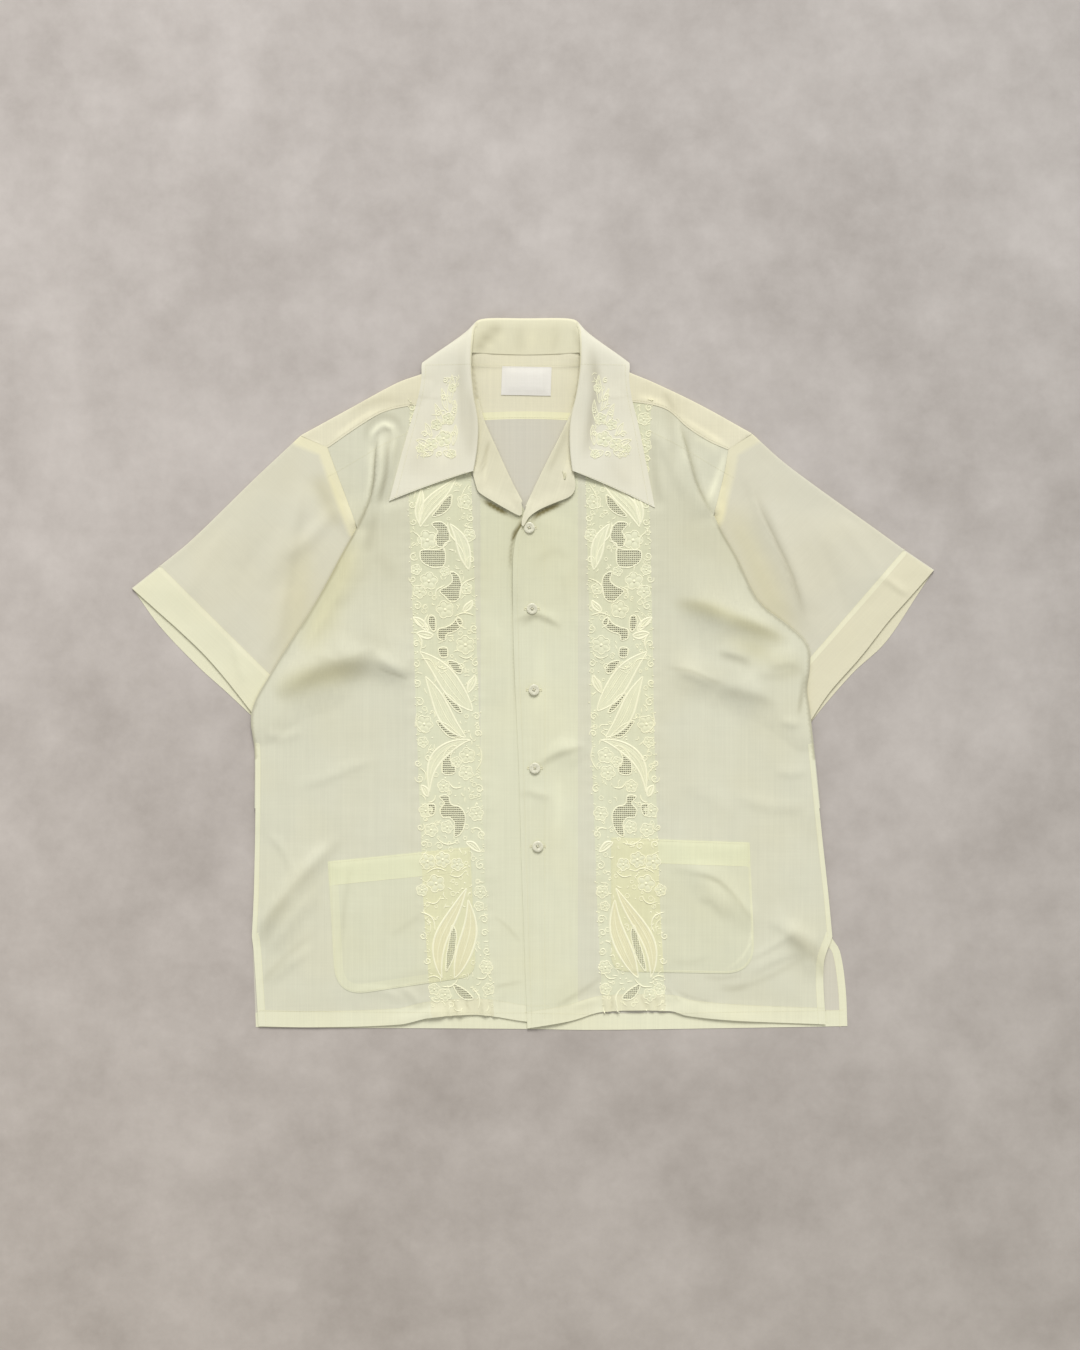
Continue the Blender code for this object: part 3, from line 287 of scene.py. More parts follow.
# Painted shade in folds, crevices and under free edges; painted highlight on ridges and folds, with paler doubled cloth
# at seam allowances; and a yellower tint over the layers below and in the painted shade of folds: strength, width on
# the left of a line and on its right, the line
TONE_KINDS = ("yellow", "pale", "deep")
TONES = {
    ("deep", "front_right"): (
        (0.177, 9, 12, ((-269.9, -14.1), (-248.9, -5.7), (-227.9, 1.7), (-206.9, 3.8), (-188, 8), (-169.1, 13.2),
         (-146, 11.2))),
        (0.125, 3, 9, ((-236.3, 13.2), (-223.7, 18.5), (-210.1, 13.2), (-196.4, 14.3), (-183.8, 18.5),
         (-171.2, 23.8), (-156.5, 15.3))),
        (0.208, 1.3, 1.5, ((-164.9, 9.1), (-152.3, 2.8), (-141.8, -0.4), (-127.1, -6.7))),
        (0.073, 9, 9, ((-169.1, 128.8), (-154.4, 114), (-143.9, 95.1))),
        (0.406, 1.5, 1.6, ((-162.8, 252.7), (-164.9, 232.7), (-165.9, 214.8), (-167, 201.2), (-169.6, 186.5),
         (-174.3, 173.9), (-181.7, 158.2), (-188, 146.6), (-196.4, 131.9))),
        (0.322, 2.0, 2.4, ((-151.2, 252.7), (-152.3, 235.8), (-152.8, 222.2), (-154.4, 206.5), (-158.6, 190.7),
         (-161.8, 172.8))),
        (0.187, 4, 4, ((-175.4, 240.1), (-174.3, 256.9), (-165.9, 268.4), (-153.3, 271.6), (-141.8, 265.3),
         (-136.5, 246.3))),
        (0.125, 5, 5, ((-161.8, 174.9), (-168, 153.9), (-175.4, 124.5))),
        (0.156, 1.3, 1.3, ((-22.1, 124.5), (-21.6, 78.3), (-20.5, 15.3), (-18.9, -47.6))),
        (0.114, 4, 5, ((-13.7, 120.3), (-12.6, 78.3), (-15.8, 36.4))),
        (0.083, 10, 9, ((-190.1, 28), (-171.2, 36.4), (-152.3, 28), (-131.3, 11.2))),
        (0.156, 5, 6, ((-295.1, -278.6), (-272, -249.3), (-246.8, -219.9), (-221.6, -194.7), (-190.1, -165.2))),
        (0.094, 3, 4, ((-290.9, -331.1), (-269.9, -305.9), (-244.7, -282.8), (-225.8, -268.1))),
        (0.135, 1.6, 2.2, ((-43.1, -251.4), (-27.3, -263.9), (-11.6, -282.8))),
        (0.135, 1.6, 2.2, ((-43.1, -328), (-27.3, -324.8), (-9.5, -321.7))),
        (0.234, 1.2, 1.2, ((-86.2, -337.4), (-82, -346.9), (-80.9, -356.3))),
        (0.208, 1.2, 1.2, ((-70.4, -335.3), (-69.4, -345.8), (-66.2, -355.3))),
        (0.156, 1.2, 1.4, ((-56.8, -339.6), (-53.6, -347.9), (-53.6, -356.3))),
        (0.114, 3, 3, ((-131.3, -352.1), (-110.3, -344.8), (-91.4, -337.4))),
        (0.95, 2.2, 2.8, ((-52.6, 183.9), (-44.2, 178.6), (-35.8, 173.9), (-28.4, 170), (-25.3, 168.1))),
        (0.42, 2.0, 2.0, ((-59.9, 187.6), (-45.2, 178.1), (-33.7, 171.8), (-23.2, 166.6), (-10.6, 161.3))),
        (1.1, 1.9, 1.7, ((-22.4, 138.2), (-18.9, 148.7), (-13.7, 156.1), (-9.5, 164.4))),
        (0.45, 1.5, 1.3, ((-24, 107.8), (-22.9, 132.9), (-20.7, 142.4), (-16.3, 151.8))),
        (0.16, 7, 8, ((-289.9, -287.1), (-274.1, -258.7), (-251, -230.4))),
        (0.08, 6, 6, ((-284.6, -324.8), (-265.7, -308.1), (-248.9, -297.6))),
    ),
    ("yellow", "front_right"): (
        (0.95, 18, 18, ((-190.1, 151.8), (-201.7, 115.1), (-213.2, 80.5), (-227.9, 49), (-248.9, 17.5))),
        (0.75, 13, 13, ((-169.1, 11.2), (-202.7, 2.8), (-238.4, -5.7), (-276.2, -24.6))),
    ),
    ("pale", "front_right"): (
        (0.55, 2.4, 2.4, ((-170.2, 240.1), (-169.1, 252.7), (-162.8, 261.1), (-155.4, 263.7), (-148.1, 259),
         (-143.9, 248.5))),
        (0.45, 2.6, 2.6, ((-170.2, 248.5), (-170.2, 225.3), (-171.2, 204.3), (-176.4, 181.2))),
        (0.36, 2.2, 2.2, ((-158.6, 250.6), (-158.6, 225.3), (-160.7, 199.1), (-167, 176))),
        (0.3, 3, 3, ((-144.9, 250.6), (-146, 229.6), (-148.1, 206.5))),
        (0.22, 5, 5, ((-175.4, 162.3), (-183.8, 136.1), (-194.3, 109.8))),
        (0.16, 5, 5, ((-284.6, -287.1), (-259.4, -253.5), (-234.2, -226.2), (-202.7, -196.8))),
    ),
    ("yellow", "sleeve_right"): (
        (0.6, 15, 18, ((-238.4, 156.1), (-243.7, 105.7), (-249.9, 51.1), (-267.8, -16.1))),
        (0.5, 14, 14, ((-225.8, 214.8), (-213.2, 183.3), (-202.7, 151.8))),
    ),
    ("deep", "sleeve_right"): (
        (0.073, 5, 5, ((-238.4, 204.3), (-246.8, 141.3), (-257.3, 78.3), (-265.7, 25.9))),
        (0.146, 7, 7, ((-232.1, 217), (-221.6, 193.8), (-209, 168.7), (-195.3, 141.3))),
        (0.052, 16, 16, ((-244.7, 235.8), (-276.2, 183.3), (-307.7, 120.3), (-328.7, 67.8))),
    ),
    ("deep", "sleeve_left"): (
        (0.239, 5, 3.5, ((229.9, 198.1), (242.5, 167.6), (255.1, 139.2), (267.7, 109.8), (278.2, 80.5),
         (286.6, 46.9))),
        (0.05, 12, 14, ((223.6, 219.1), (235.2, 183.3), (246.7, 147.7))),
    ),
    ("yellow", "sleeve_left"): (
        (0.8, 18, 18, ((200.5, 187.6), (225.7, 132.9), (250.9, 78.3), (280.3, 25.9))),
        (0.5, 5, 5, ((204.7, 233.8), (199.5, 204.3), (197.4, 177.1), (194.2, 149.8))),
    ),
    ("deep", "front_left"): (
        (0.135, 5, 8, ((141.7, 75.2), (166.9, 74.1), (183.7, 68.9), (206.8, 58.4))),
        (0.177, 5, 8, ((200.5, 61.6), (223.6, 53.2), (243.6, 45.8), (271.9, 32.2))),
        (0.135, 4, 5, ((190, 23.8), (210, 17.5), (234.1, 8))),
        (0.177, 2, 2.5, ((135.4, 8), (164.8, 3.8), (183.7, -4.6), (204.7, -13))),
        (0.156, 5, 7, ((190, -16.1), (215.2, -19.3), (232, -23.5), (261.4, -35))),
        (0.135, 6, 6, ((227.8, -0.4), (250.9, -2.5), (271.9, 1.7), (290.8, 9.1))),
        (0.312, 2.5, 2.5, ((285.6, 7), (282.4, -16.1), (277.2, -45.5))),
        (0.26, 4.5, 2.2, ((153.3, 269.5), (158.5, 248.5), (163.8, 227.5), (171.1, 200.2), (181.6, 177.1),
         (190, 159.2))),
        (0.104, 5, 5, ((137.5, 292.6), (144.9, 256.9), (145.9, 208.6))),
        (0.114, 5, 6, ((124.9, 256.9), (127, 214.8), (133.3, 172.8))),
        (0.187, 2, 4, ((-23.2, 53.2), (-11.6, 59.5), (1, 63.6), (15.7, 58.4), (32.5, 46.9))),
        (0.125, 3, 3, ((-13.7, 51.1), (-3.2, 57.4), (7.3, 65.8))),
        (0.146, 2.5, 4, ((1, -100.2), (15.7, -88.6), (30.4, -81.3), (61.9, -73.9))),
        (0.104, 3, 4, ((-20, -128.5), (-3.2, -124.3), (22, -130.6))),
        (0.073, 5, 5, ((1, 112), (19.9, 128.8), (43, 119.3))),
        (0.177, 6, 8, ((259.3, -263.9), (282.4, -278.6), (303.4, -295.4), (320.2, -318.6))),
        (0.114, 3, 3.5, ((187.9, -333.2), (221.5, -326.9), (255.1, -313.3), (292.9, -291.2))),
        (0.177, 2.2, 3, ((19.9, -350.1), (41.9, -337.4), (59.8, -325.9), (78.7, -312.2))),
        (0.208, 1.2, 1.3, ((82.9, -337.4), (82.9, -345.8), (80.8, -353.2))),
        (0.208, 1.2, 1.3, ((112.3, -335.3), (115.5, -343.8), (120.7, -351.1))),
        (0.156, 1.3, 1.6, ((135.4, -324.8), (145.9, -335.3), (156.4, -344.8))),
        (0.156, 2, 2.4, ((145.9, -329.1), (164.8, -338.5), (192.1, -344.8))),
        (0.114, 2.5, 2.5, ((175.3, -316.4), (198.4, -318.6), (225.7, -312.2))),
        (0.068, 9, 9, ((150.1, 93), (196.3, 80.5), (238.3, 64.7), (280.3, 44.8))),
        (0.042, 9, 9, ((120.7, 13.2), (175.3, 2.8), (234.1, -12))),
        (0.9, 2.2, 2.8, ((-3.2, 162.3), (5.2, 169.2), (13.6, 173.4), (22, 177.1), (31.5, 182.3))),
        (0.45, 1.8, 1.8, ((-7.4, 152.9), (-1.1, 161.8), (8.3, 168.7), (18.9, 173.9), (32.5, 180.2), (47.2, 192.8))),
        (0.17, 8, 8, ((263.5, -272.3), (278.2, -283.9), (292.9, -299.6))),
        (0.17, 4, 5, ((288.7, -289.1), (300.2, -303.8), (310.8, -320.6))),
        (0.1, 4, 4, ((192.1, -325.9), (208.9, -329.1), (227.8, -325.9))),
        (0.07, 11, 11, ((190, 51.1), (217.3, 34.2), (253, 21.7))),
        (0.05, 9, 9, ((169, 11.2), (198.4, 2.8), (229.9, 2.8))),
    ),
    ("yellow", "front_left"): (
        (0.4, 14, 14, ((202.6, 40.6), (227.8, 29), (257.2, 15.3), (292.9, 2.8))),
        (0.8, 8, 9, ((141.7, 76.2), (181.6, 70), (222.6, 53.2), (274, 31.1))),
        (0.22, 13, 13, ((190, 49), (217.3, 33.2), (250.9, 19.6))),
    ),
    ("pale", "front_left"): (
        (0.22, 4, 4, ((150.1, 277.9), (155.4, 246.3), (160.6, 214.8))),
        (0.8, 3.6, 3.6, ((203.7, 240.1), (198.4, 221.2), (190, 198.1), (180.6, 174.9))),
        (0.4, 4.5, 4.5, ((164.8, 252.7), (179.5, 245.3), (200.5, 233.8))),
        (0.24, 9, 9, ((7.3, 36.4), (9.4, -5.7), (7.3, -47.6))),
        (0.24, 8, 8, ((19.9, -100.2), (28.3, -131.7), (24.1, -173.7))),
    ),
    ("pale", "yoke"): (
        (0.62, 2.4, 2.4, ((-213.2, 245.3), (-197.4, 256.9), (-184.8, 266.3), (-171.2, 274.1), (-152.3, 281))),
        (0.62, 2.8, 2.8, ((106, 292.6), (117.5, 291), (130.2, 287.3), (142.8, 281))),
        (0.6, 2.8, 2.8, ((150.1, 274.2), (164.8, 264.7), (179.5, 255.8), (194.2, 246.3), (211, 235.8))),
    ),
    ("deep", "yoke"): (
        (0.156, 4.5, 4.5, ((-198.5, 271.6), (-179.6, 282.1), (-160.7, 288.4), (-135.5, 289.4))),
        (0.177, 3, 3, ((135.4, 298.9), (142.8, 287.3), (151.2, 272.6))),
        (0.34, 1.4, 1.4, ((-64.1, 330.4), (-61, 305.2), (-57.8, 284.2), (-54.7, 271.6))),
        (0.3, 1.4, 1.4, ((51.4, 330.4), (48.2, 305.2), (43, 286.3), (38.8, 273.7))),
    ),
    ("pale", "facing_right"): (
        (0.4, 2, 2, ((-47.3, 244.2), (-49.4, 223.2), (-51.5, 198.1))),
    ),
    ("deep", "facing_right"): (
        (0.234, 1.3, 1.3, ((-44.2, 248.5), (-48.4, 232.7), (-50.5, 219.1), (-58.9, 209.6))),
        (0.55, 1.4, 1.4, ((-49.4, 181.2), (-41, 176.5), (-34.7, 173.4), (-28.4, 170.2))),
        (0.22, 1.6, 1.6, ((-46.3, 248.5), (-49.4, 235.8), (-52.6, 223.2), (-57.8, 212.8))),
    ),
    ("deep", "facing_left"): (
        (0.177, 3.5, 3.5, ((36.7, 265.3), (31.5, 246.3), (23.1, 227.5), (13.6, 208.6))),
        (0.5, 1.4, 1.4, ((26.2, 180.2), (17.8, 176), (10.4, 172.8), (3.1, 168.7))),
    ),
    ("pale", "facing_left"): (
        (0.25, 4, 4, ((38.8, 235.8), (34.6, 214.8), (32.5, 195.9))),
    ),
    ("deep", "collar"): (
        (0.239, 5, 6, ((59.8, 351.4), (66.1, 305.2), (60.9, 261.1), (53.5, 219.1))),
        (0.135, 5, 5, ((-72.5, 355.6), (-75.7, 305.2), (-71.5, 256.9), (-65.2, 217))),
        (0.104, 1.4, 1.4, ((-131.3, 292.6), (-114.5, 290.5), (-91.4, 288.4))),
        (0.104, 1.4, 1.4, ((61.9, 288.4), (85, 289.4), (108.1, 292.6))),
        (0.073, 9, 9, ((-114.5, 267.4), (-118.7, 233.8), (-129.2, 204.3))),
        (0.083, 8, 8, ((74.5, 235.8), (87.1, 214.8), (103.9, 191.8))),
        (0.322, 5, 5, ((-62, 334.6), (-53.6, 348.2), (-44.2, 357.7), (-29.4, 365))),
        (0.135, 3, 3, ((43, 364), (46.1, 351.4), (49.3, 338.8))),
        (0.114, 5, 5, ((-13.7, 366.1), (-14.8, 353.5), (-12.6, 338.8))),
        (0.104, 4, 4, ((19.9, 366.1), (24.1, 353.5), (19.9, 338.8))),
        (0.12, 5, 6, ((59.8, 347.2), (65, 305.2), (59.8, 263.2), (53.5, 223.2))),
        (0.16, 6, 4, ((-70.4, 305.2), (-65.2, 277.9), (-64.1, 246.3), (-66.2, 223.2))),
    ),
    ("pale", "collar"): (
        (0.3, 7, 7, ((-87.2, 288.4), (-91.4, 246.3), (-97.7, 208.6))),
        (0.25, 3, 3, ((-49.4, 340.9), (-41, 349.3), (-26.3, 355.6))),
        (0.2, 5, 5, ((-0.1, 366.1), (-1.1, 351.4), (-0.1, 338.8))),
    ),
    ("deep", "pocket_left"): (
        (0.177, 2.0, 2.6, ((158.5, -210.4), (181.6, -211.5), (200.5, -220.9), (217.3, -239.8), (234.1, -262.9))),
        (0.083, 3, 3, ((141.7, -299.6), (164.8, -301.8), (187.9, -295.4))),
    ),
    ("pale", "pocket_left"): (
        (0.5, 1.4, 1.4, ((228.9, -182.1), (229.9, -215.7), (231, -249.3), (226.8, -282.8), (213.1, -301.8),
         (192.1, -313.3))),
    ),
    ("deep", "pocket_right"): (
        (0.094, 2.4, 3, ((-190.1, -196.8), (-194.3, -219.9), (-198.5, -257.6), (-202.7, -299.6))),
        (0.083, 3, 4, ((-154.4, -276.6), (-131.3, -261.8), (-110.3, -245.1))),
    ),
    ("pale", "sleeve_left"): (
        (0.5, 4, 4, ((199.5, 185.4), (197.4, 168.7), (194.2, 149.8))),
    ),
}
# The lowest y at which painted shade lies along a front's turned edge, and the painted shade and yellower tint over the
# chest
FOLD_SHOWS = -90
CHEST_PAINTED_SHADE_AND_TINT = {"deep": 0.062, "yellow": 0.2, "pale": 0.0}

# How the laid cloth stands and settles, and how far each effect reaches
SWELL = 1.2
TURN_ROUNDS = 0.9
EDGE_SETTLES = 0.85
TURN_REACH = 9.0
SWELL_REACH = 55.0
LIFT_FADE = 42.0
PLACKET_LAP = ((-21, 170), (22, 150), (22, -372), (-21, -372))
PLACKET_FADE = 24.0
NECK_FADE = 42.0
LAP_AIR = 0.1
PRESSED_FADE = 14
DEEPEST = 0.9
# The embroidery's pull: fine puckers beside a band, and gathers of the hem across it
TUG_REACH = 9.0
PUCKER = 0.12
GATHER_REACH = 34.0

COLLAR_MIDDLE_BACK = (-6.5, 370)
COLLAR_MIDDLE_FRONT = (-11.5, 180)
Station = namedtuple(
    "Station", "seam_x seam_y seam_z crest_x crest_y crest_z radius turn belly_x belly_y belly_z"
    " edge_x edge_y edge_z left_drop")
COLLAR = [Station(*row) for row in (
    (54, 213, 5.9, 53, 213, 7.0, 1.1, 0, 96, 199, 7.6, 139.5, 182, 6.0, 7),
    (54, 236, 5.9, 50, 237, 7.2, 1.3, 0, 90, 232, 8.2, 130, 222, 6.0, 4),
    (55, 262, 6.2, 50, 264, 7.8, 1.6, 8, 86, 264, 8.4, 120, 261, 6.4, 0),
    (58, 290, 7.0, 56, 294, 9.4, 1.9, 22, 84, 294, 9.2, 112, 291, 6.8, 0),
    (60, 316, 7.8, 59.5, 324, 11.0, 2.2, 50, 84, 322, 8.8, 109, 310, 6.6, 0),
    (58, 335, 7.6, 59, 350, 10.4, 2.4, 85, 81, 344, 7.0, 108, 327, 3.4, 0),
    (50, 337.2, 5.2, 56, 363.5, 7.6, 2.6, 120, 72, 349, 1.0, 97, 321, 0.65, 0),
    (35, 336.6, 3.2, 45, 370, 4.8, 2.7, 160, 46, 348, 0.65, 58, 325, 0.65, 0),
    (0, 335.6, 2.8, 0, 370.5, 4.0, 2.7, 180, 0, 350, 0.65, 0, 325, 0.65, 0),
)]
FALL_RISE = 1.9
FALL_ZONE = ((-118, 312), (-56, 372), (43, 372), (103, 312))

# Embroidered bands: the middle line of each, and their half width
BAND_ROWS = ((290, -96, 91), (210, -98, 88), (60, -93, 92), (-58, -89, 94), (-237, -82, 100), (-368, -73, 107))
BAND_HALF = 33.0


def smooth(share):
    """Ease from 0 to 1, for numbers and arrays."""
    share = np.clip(share, 0.0, 1.0)
    return share * share * (3 - 2 * share)


def between(start, leave, end, arrive, t):
    """A point on the smooth curve that leaves its start and arrives at its end along two given vectors."""
    return (start * (2 * t**3 - 3 * t**2 + 1) + leave * (t**3 - 2 * t**2 + t)
            + end * (3 * t**2 - 2 * t**3) + arrive * (t**3 - t**2))


def curve(points, step):
    """Points about one step apart on a smooth curve through the given ones."""
    given = [Vector(p) for p in points]
    made = [given[0]]
    for i in range(len(given) - 1):
        start, end = given[i], given[i + 1]
        before = given[i - 1] if i else start - (end - start)
        after = given[i + 2] if i + 2 < len(given) else end + (end - start)
        length = (end - start).length
        leave = (end - before).normalized() * length
        arrive = (after - start).normalized() * length
        parts = max(1, round(length / step))
        made += [between(start, leave, end, arrive, k / parts) for k in range(1, parts + 1)]
    return made


def outline(*runs):
    """One closed outline from runs that follow each other end to start."""
    joined = []
    for run in runs:
        joined += [p for p in run if not joined or (p - joined[-1]).length > 0.1]
    if (joined[0] - joined[-1]).length < 0.1:
        joined.pop()
    return joined


def path(step, *lines):
    """One closed outline through smooth curves that follow each other."""
    return outline(*(curve(line, step) for line in lines))


def lengths_of(line):
    """How far along a line each of its points lies."""
    lengths = [0.0]
    for a, b in zip(line, line[1:]):
        lengths.append(lengths[-1] + (b - a).length)
    return lengths


def nearest_to(point, line):
    """The number of the line's point that lies nearest to a point."""
    return min(range(len(line)), key=lambda i: (line[i] - point).length)


def sideways(line):
    """The unit vector to the right of each point of a line."""
    made = []
    for i in range(len(line)):
        along = (line[min(i + 1, len(line) - 1)] - line[max(i - 1, 0)]).normalized()
        made.append(Vector((along.y, -along.x)))
    return made


def moved(line, distance):
    """A line moved to its right by a distance."""
    return [p + side * distance for p, side in zip(line, sideways(line))]


FAR = 1e9


def to_segment(x, y, x0, y0, x1, y1):
    """Distance of points from a segment, and how far along it each foot lies, from 0 to 1."""
    dx, dy = x1 - x0, y1 - y0
    share = np.clip(((x - x0) * dx + (y - y0) * dy) / max(dx * dx + dy * dy, 1e-9), 0.0, 1.0)
    return np.hypot(x - x0 - share * dx, y - y0 - share * dy), share


def line_distance(x, y, line, closed=False):
    """Distance of points from a line of segments."""
    nearest = np.full(np.shape(x), FAR)
    first = 0 if closed else 1
    for i in range(first, len(line)):
        a, b = line[i - 1], line[i]
        nearest = np.minimum(nearest, to_segment(x, y, a[0], a[1], b[0], b[1])[0])
    return nearest


def inside(x, y, polygon):
    """Which points lie within a closed outline."""
    hits = np.zeros(np.shape(x), dtype=bool)
    for i in range(len(polygon)):
        a, b = polygon[i - 1], polygon[i]
        if a[1] == b[1]:
            continue
        crosses = (a[1] > y) != (b[1] > y)
        hits ^= crosses & (x < a[0] + (y - a[1]) / (b[1] - a[1]) * (b[0] - a[0]))
    return hits


def near(x, y, polygon, fade):
    """1 inside a zone, easing to 0 at the fade distance outside it."""
    outside = smooth(1 - line_distance(x, y, polygon, closed=True) / fade)
    return np.where(inside(x, y, polygon), 1.0, outside)


def ridges(piece, x, y):
    """The height that the solids' folds add."""
    total = np.zeros(np.shape(x))
    for x0, y0, x1, y1, width, height in FOLDS[piece]:
        distance, share = to_segment(x, y, x0, y0, x1, y1)
        total += height * np.exp(-(distance / width)**2) * smooth(4 * share * (1 - share))
    return total


def beside(x, y, line):
    """Distance of points from a line, whether they lie to its left, and their share of its length."""
    lengths = lengths_of(line)
    nearest, left, share = np.full(np.shape(x), FAR), np.zeros(np.shape(x), dtype=bool), np.zeros(np.shape(x))
    for i in range(1, len(line)):
        a, b = line[i - 1], line[i]
        distance, along = to_segment(x, y, a.x, a.y, b.x, b.y)
        closer = distance < nearest
        nearest = np.where(closer, distance, nearest)
        left = np.where(closer, (b.x - a.x) * (y - a.y) - (b.y - a.y) * (x - a.x) > 0, left)
        share = np.where(closer, (lengths[i - 1] + along * (lengths[i] - lengths[i - 1])) / lengths[-1], share)
    return nearest, left, share


def with_lines(total, rows, x, y, step=8, ease=4):
    """A total with what a table's lines add: each fades over its widths and towards its ends."""
    for amount, width, steep, points in rows:
        distance, left, share = beside(x, y, curve(points, step))
        total += amount * np.exp(-(distance / np.where(left, width, steep))**2) * smooth(ease * share * (1 - share))
    return total


def creases(piece, x, y):
    """The height that the cloth's own small creases add."""
    return with_lines(np.zeros(np.shape(x)), CREASES[piece], x, y, step=12)


def laps(piece, x, y):
    """The height of cloth that lies over itself beside an armhole, and of edges that stand free."""
    total = np.zeros(np.shape(x))
    for height, reach, points in LAPS.get(piece, ()):
        distance, left, share = beside(x, y, curve(points, 8))
        free = share if piece == "front_left" else 1 - share
        both_ends = smooth(4 * share * (1 - share))
        ends = both_ends if piece == "sleeve_left" else smooth(4 * (1 - free))
        groove = -LAP_GROOVE * height * np.exp(-(distance / LAP_GROOVE_WIDTH)**2) * both_ends
        total += np.where(left, height * np.exp(-(distance / reach)**2), groove) * ends
    return with_lines(total, LIFTS.get(piece, ()), x, y)


def tone(piece, kind, x, y):
    """How strongly one kind of tone from a piece's table lies on its cloth; the kinds are painted shade, a yellower
    tint, and painted highlight with paler doubled cloth.
    """
    return with_lines(np.zeros(np.shape(x)), TONES.get((kind, piece), ()), x, y, ease=4.2)


def shade_beside_fold(x, y, fold, width):
    """The strength of the painted shade along a front's turned edge: 1 on the edge, falling off over a width, and near
    the top of the edge.
    """
    distance, _, share = beside(x, y, fold)
    return np.exp(-(distance / width)**2) * smooth(22 * (1 - share))


def shown_fold(front):
    """The part of a front's turned edge along which painted shade lies on the front and the sleeve."""
    return [p for p in curve(front.fold, 8) if p.y > FOLD_SHOWS]


def plain_tone(piece):
    """The tone of a piece from its table alone."""
    return lambda kind, x, y: np.clip(tone(piece, kind, x, y), 0.0, 1.0)


def front_tone(piece, front):
    """The tone of a front: painted shade and a yellower tint over the chest, and painted shade in the crevice under its
    turned edge.
    """
    fold = shown_fold(front)

    def of(kind, x, y):
        chest = smooth((y - 20) / 110) * (1 - 0.75 * smooth((y - 150) / 70)) * CHEST_PAINTED_SHADE_AND_TINT[kind]
        # Painted shade in the crevice along the turned edge.
        edge = 0.39 * shade_beside_fold(x, y, fold, 1.2) if kind == "deep" else 0.0
        return np.clip(tone(piece, kind, x, y) + chest + edge, 0.0, 1.0)

    return of


def sleeve_tone(piece, front, sleeve):
    """The tone of a sleeve: painted shade beside the front's turned edge, paler and yellower over its seam allowance.
    """
    fold = shown_fold(front)
    seam = curve(front.armhole, 8) + curve((front.armhole[-1], sleeve.top[0]), 8)
    strength = SEAM_PALE[piece]

    def of(kind, x, y):
        if kind == "deep":
            # Painted shade on the sleeve beside the front's turned edge.
            extra = 0.42 * shade_beside_fold(x, y, fold, 1.6)
        else:
            extra = strength * smooth((SLEEVE_SEAM_BAND + SEAM_FADE - line_distance(x, y, seam)) / (2 * SEAM_FADE))
        return np.clip(tone(piece, kind, x, y) + extra, 0.0, 1.0)

    return of


def lap_lines(piece):
    """Both sides of each lap's edge, to run among the edges of a shell's triangles."""
    reaches = (-LAP_EDGE, LAP_EDGE, LAP_EDGE + LAP_GROOVE_WIDTH)
    return [moved(curve(points, 3), reach) for _, _, points in LAPS.get(piece, ()) for reach in reaches]


def rumple(x, y, scale, depth, seed):
    """Soft unevenness of the cloth, from noise."""
    flat = [noise.noise(Vector((a / scale, b / scale, seed))) for a, b in zip(np.ravel(x), np.ravel(y))]
    return depth * np.array(flat).reshape(np.shape(x))


def fold_above_cuff(front, sleeve, step):
    """The part of a front's turned edge from the cuff upwards."""
    return [p for p in curve(front.fold, step) if p.y > sleeve.corner[1]]


def sleeve_zone(front, sleeve):
    """Where a front lies over its sleeve."""
    return outline(fold_above_cuff(front, sleeve, COARSE), curve(front.hidden_armhole, COARSE)[::-1],
                   [Vector(sleeve.corner)])


def side_zone(front, turn_step=COARSE, step=COARSE):
    """The part of a front that is turned under."""
    return outline(curve(front.fold, turn_step), curve(front.hidden_armhole, step)[::-1],
                   curve(front.hidden_side, step)[::-1])


def neck_rise(x, y):
    """How far the layers under the collar stand higher."""
    return FALL_RISE * near(x, y, FALL_ZONE, NECK_FADE)


def collar_side(half, y, left):
    """The x of a half width on one side of the collar's middle line."""
    (x0, y0), (x1, y1) = COLLAR_MIDDLE_BACK, COLLAR_MIDDLE_FRONT
    middle = x0 + (x1 - x0) * (y - y0) / (y1 - y0)
    return middle + half if left else middle - half


def collar_shade():
    """The outline of what the collar's two points cover."""
    rim = [(COLLAR[0].seam_x, COLLAR[0].seam_y)] + [(s.edge_x, s.edge_y) for s in COLLAR[:6]]
    right, left = ([(collar_side(half, y, side), y) for half, y in rim] for side in (False, True))
    return right[::-1] + left


COLLAR_SHADE = collar_shade()


def band_middle(y, left):
    """The x of an embroidered band's middle line."""
    rows = BAND_ROWS[::-1]
    return np.interp(y, [r[0] for r in rows], [r[2 if left else 1] for r in rows])


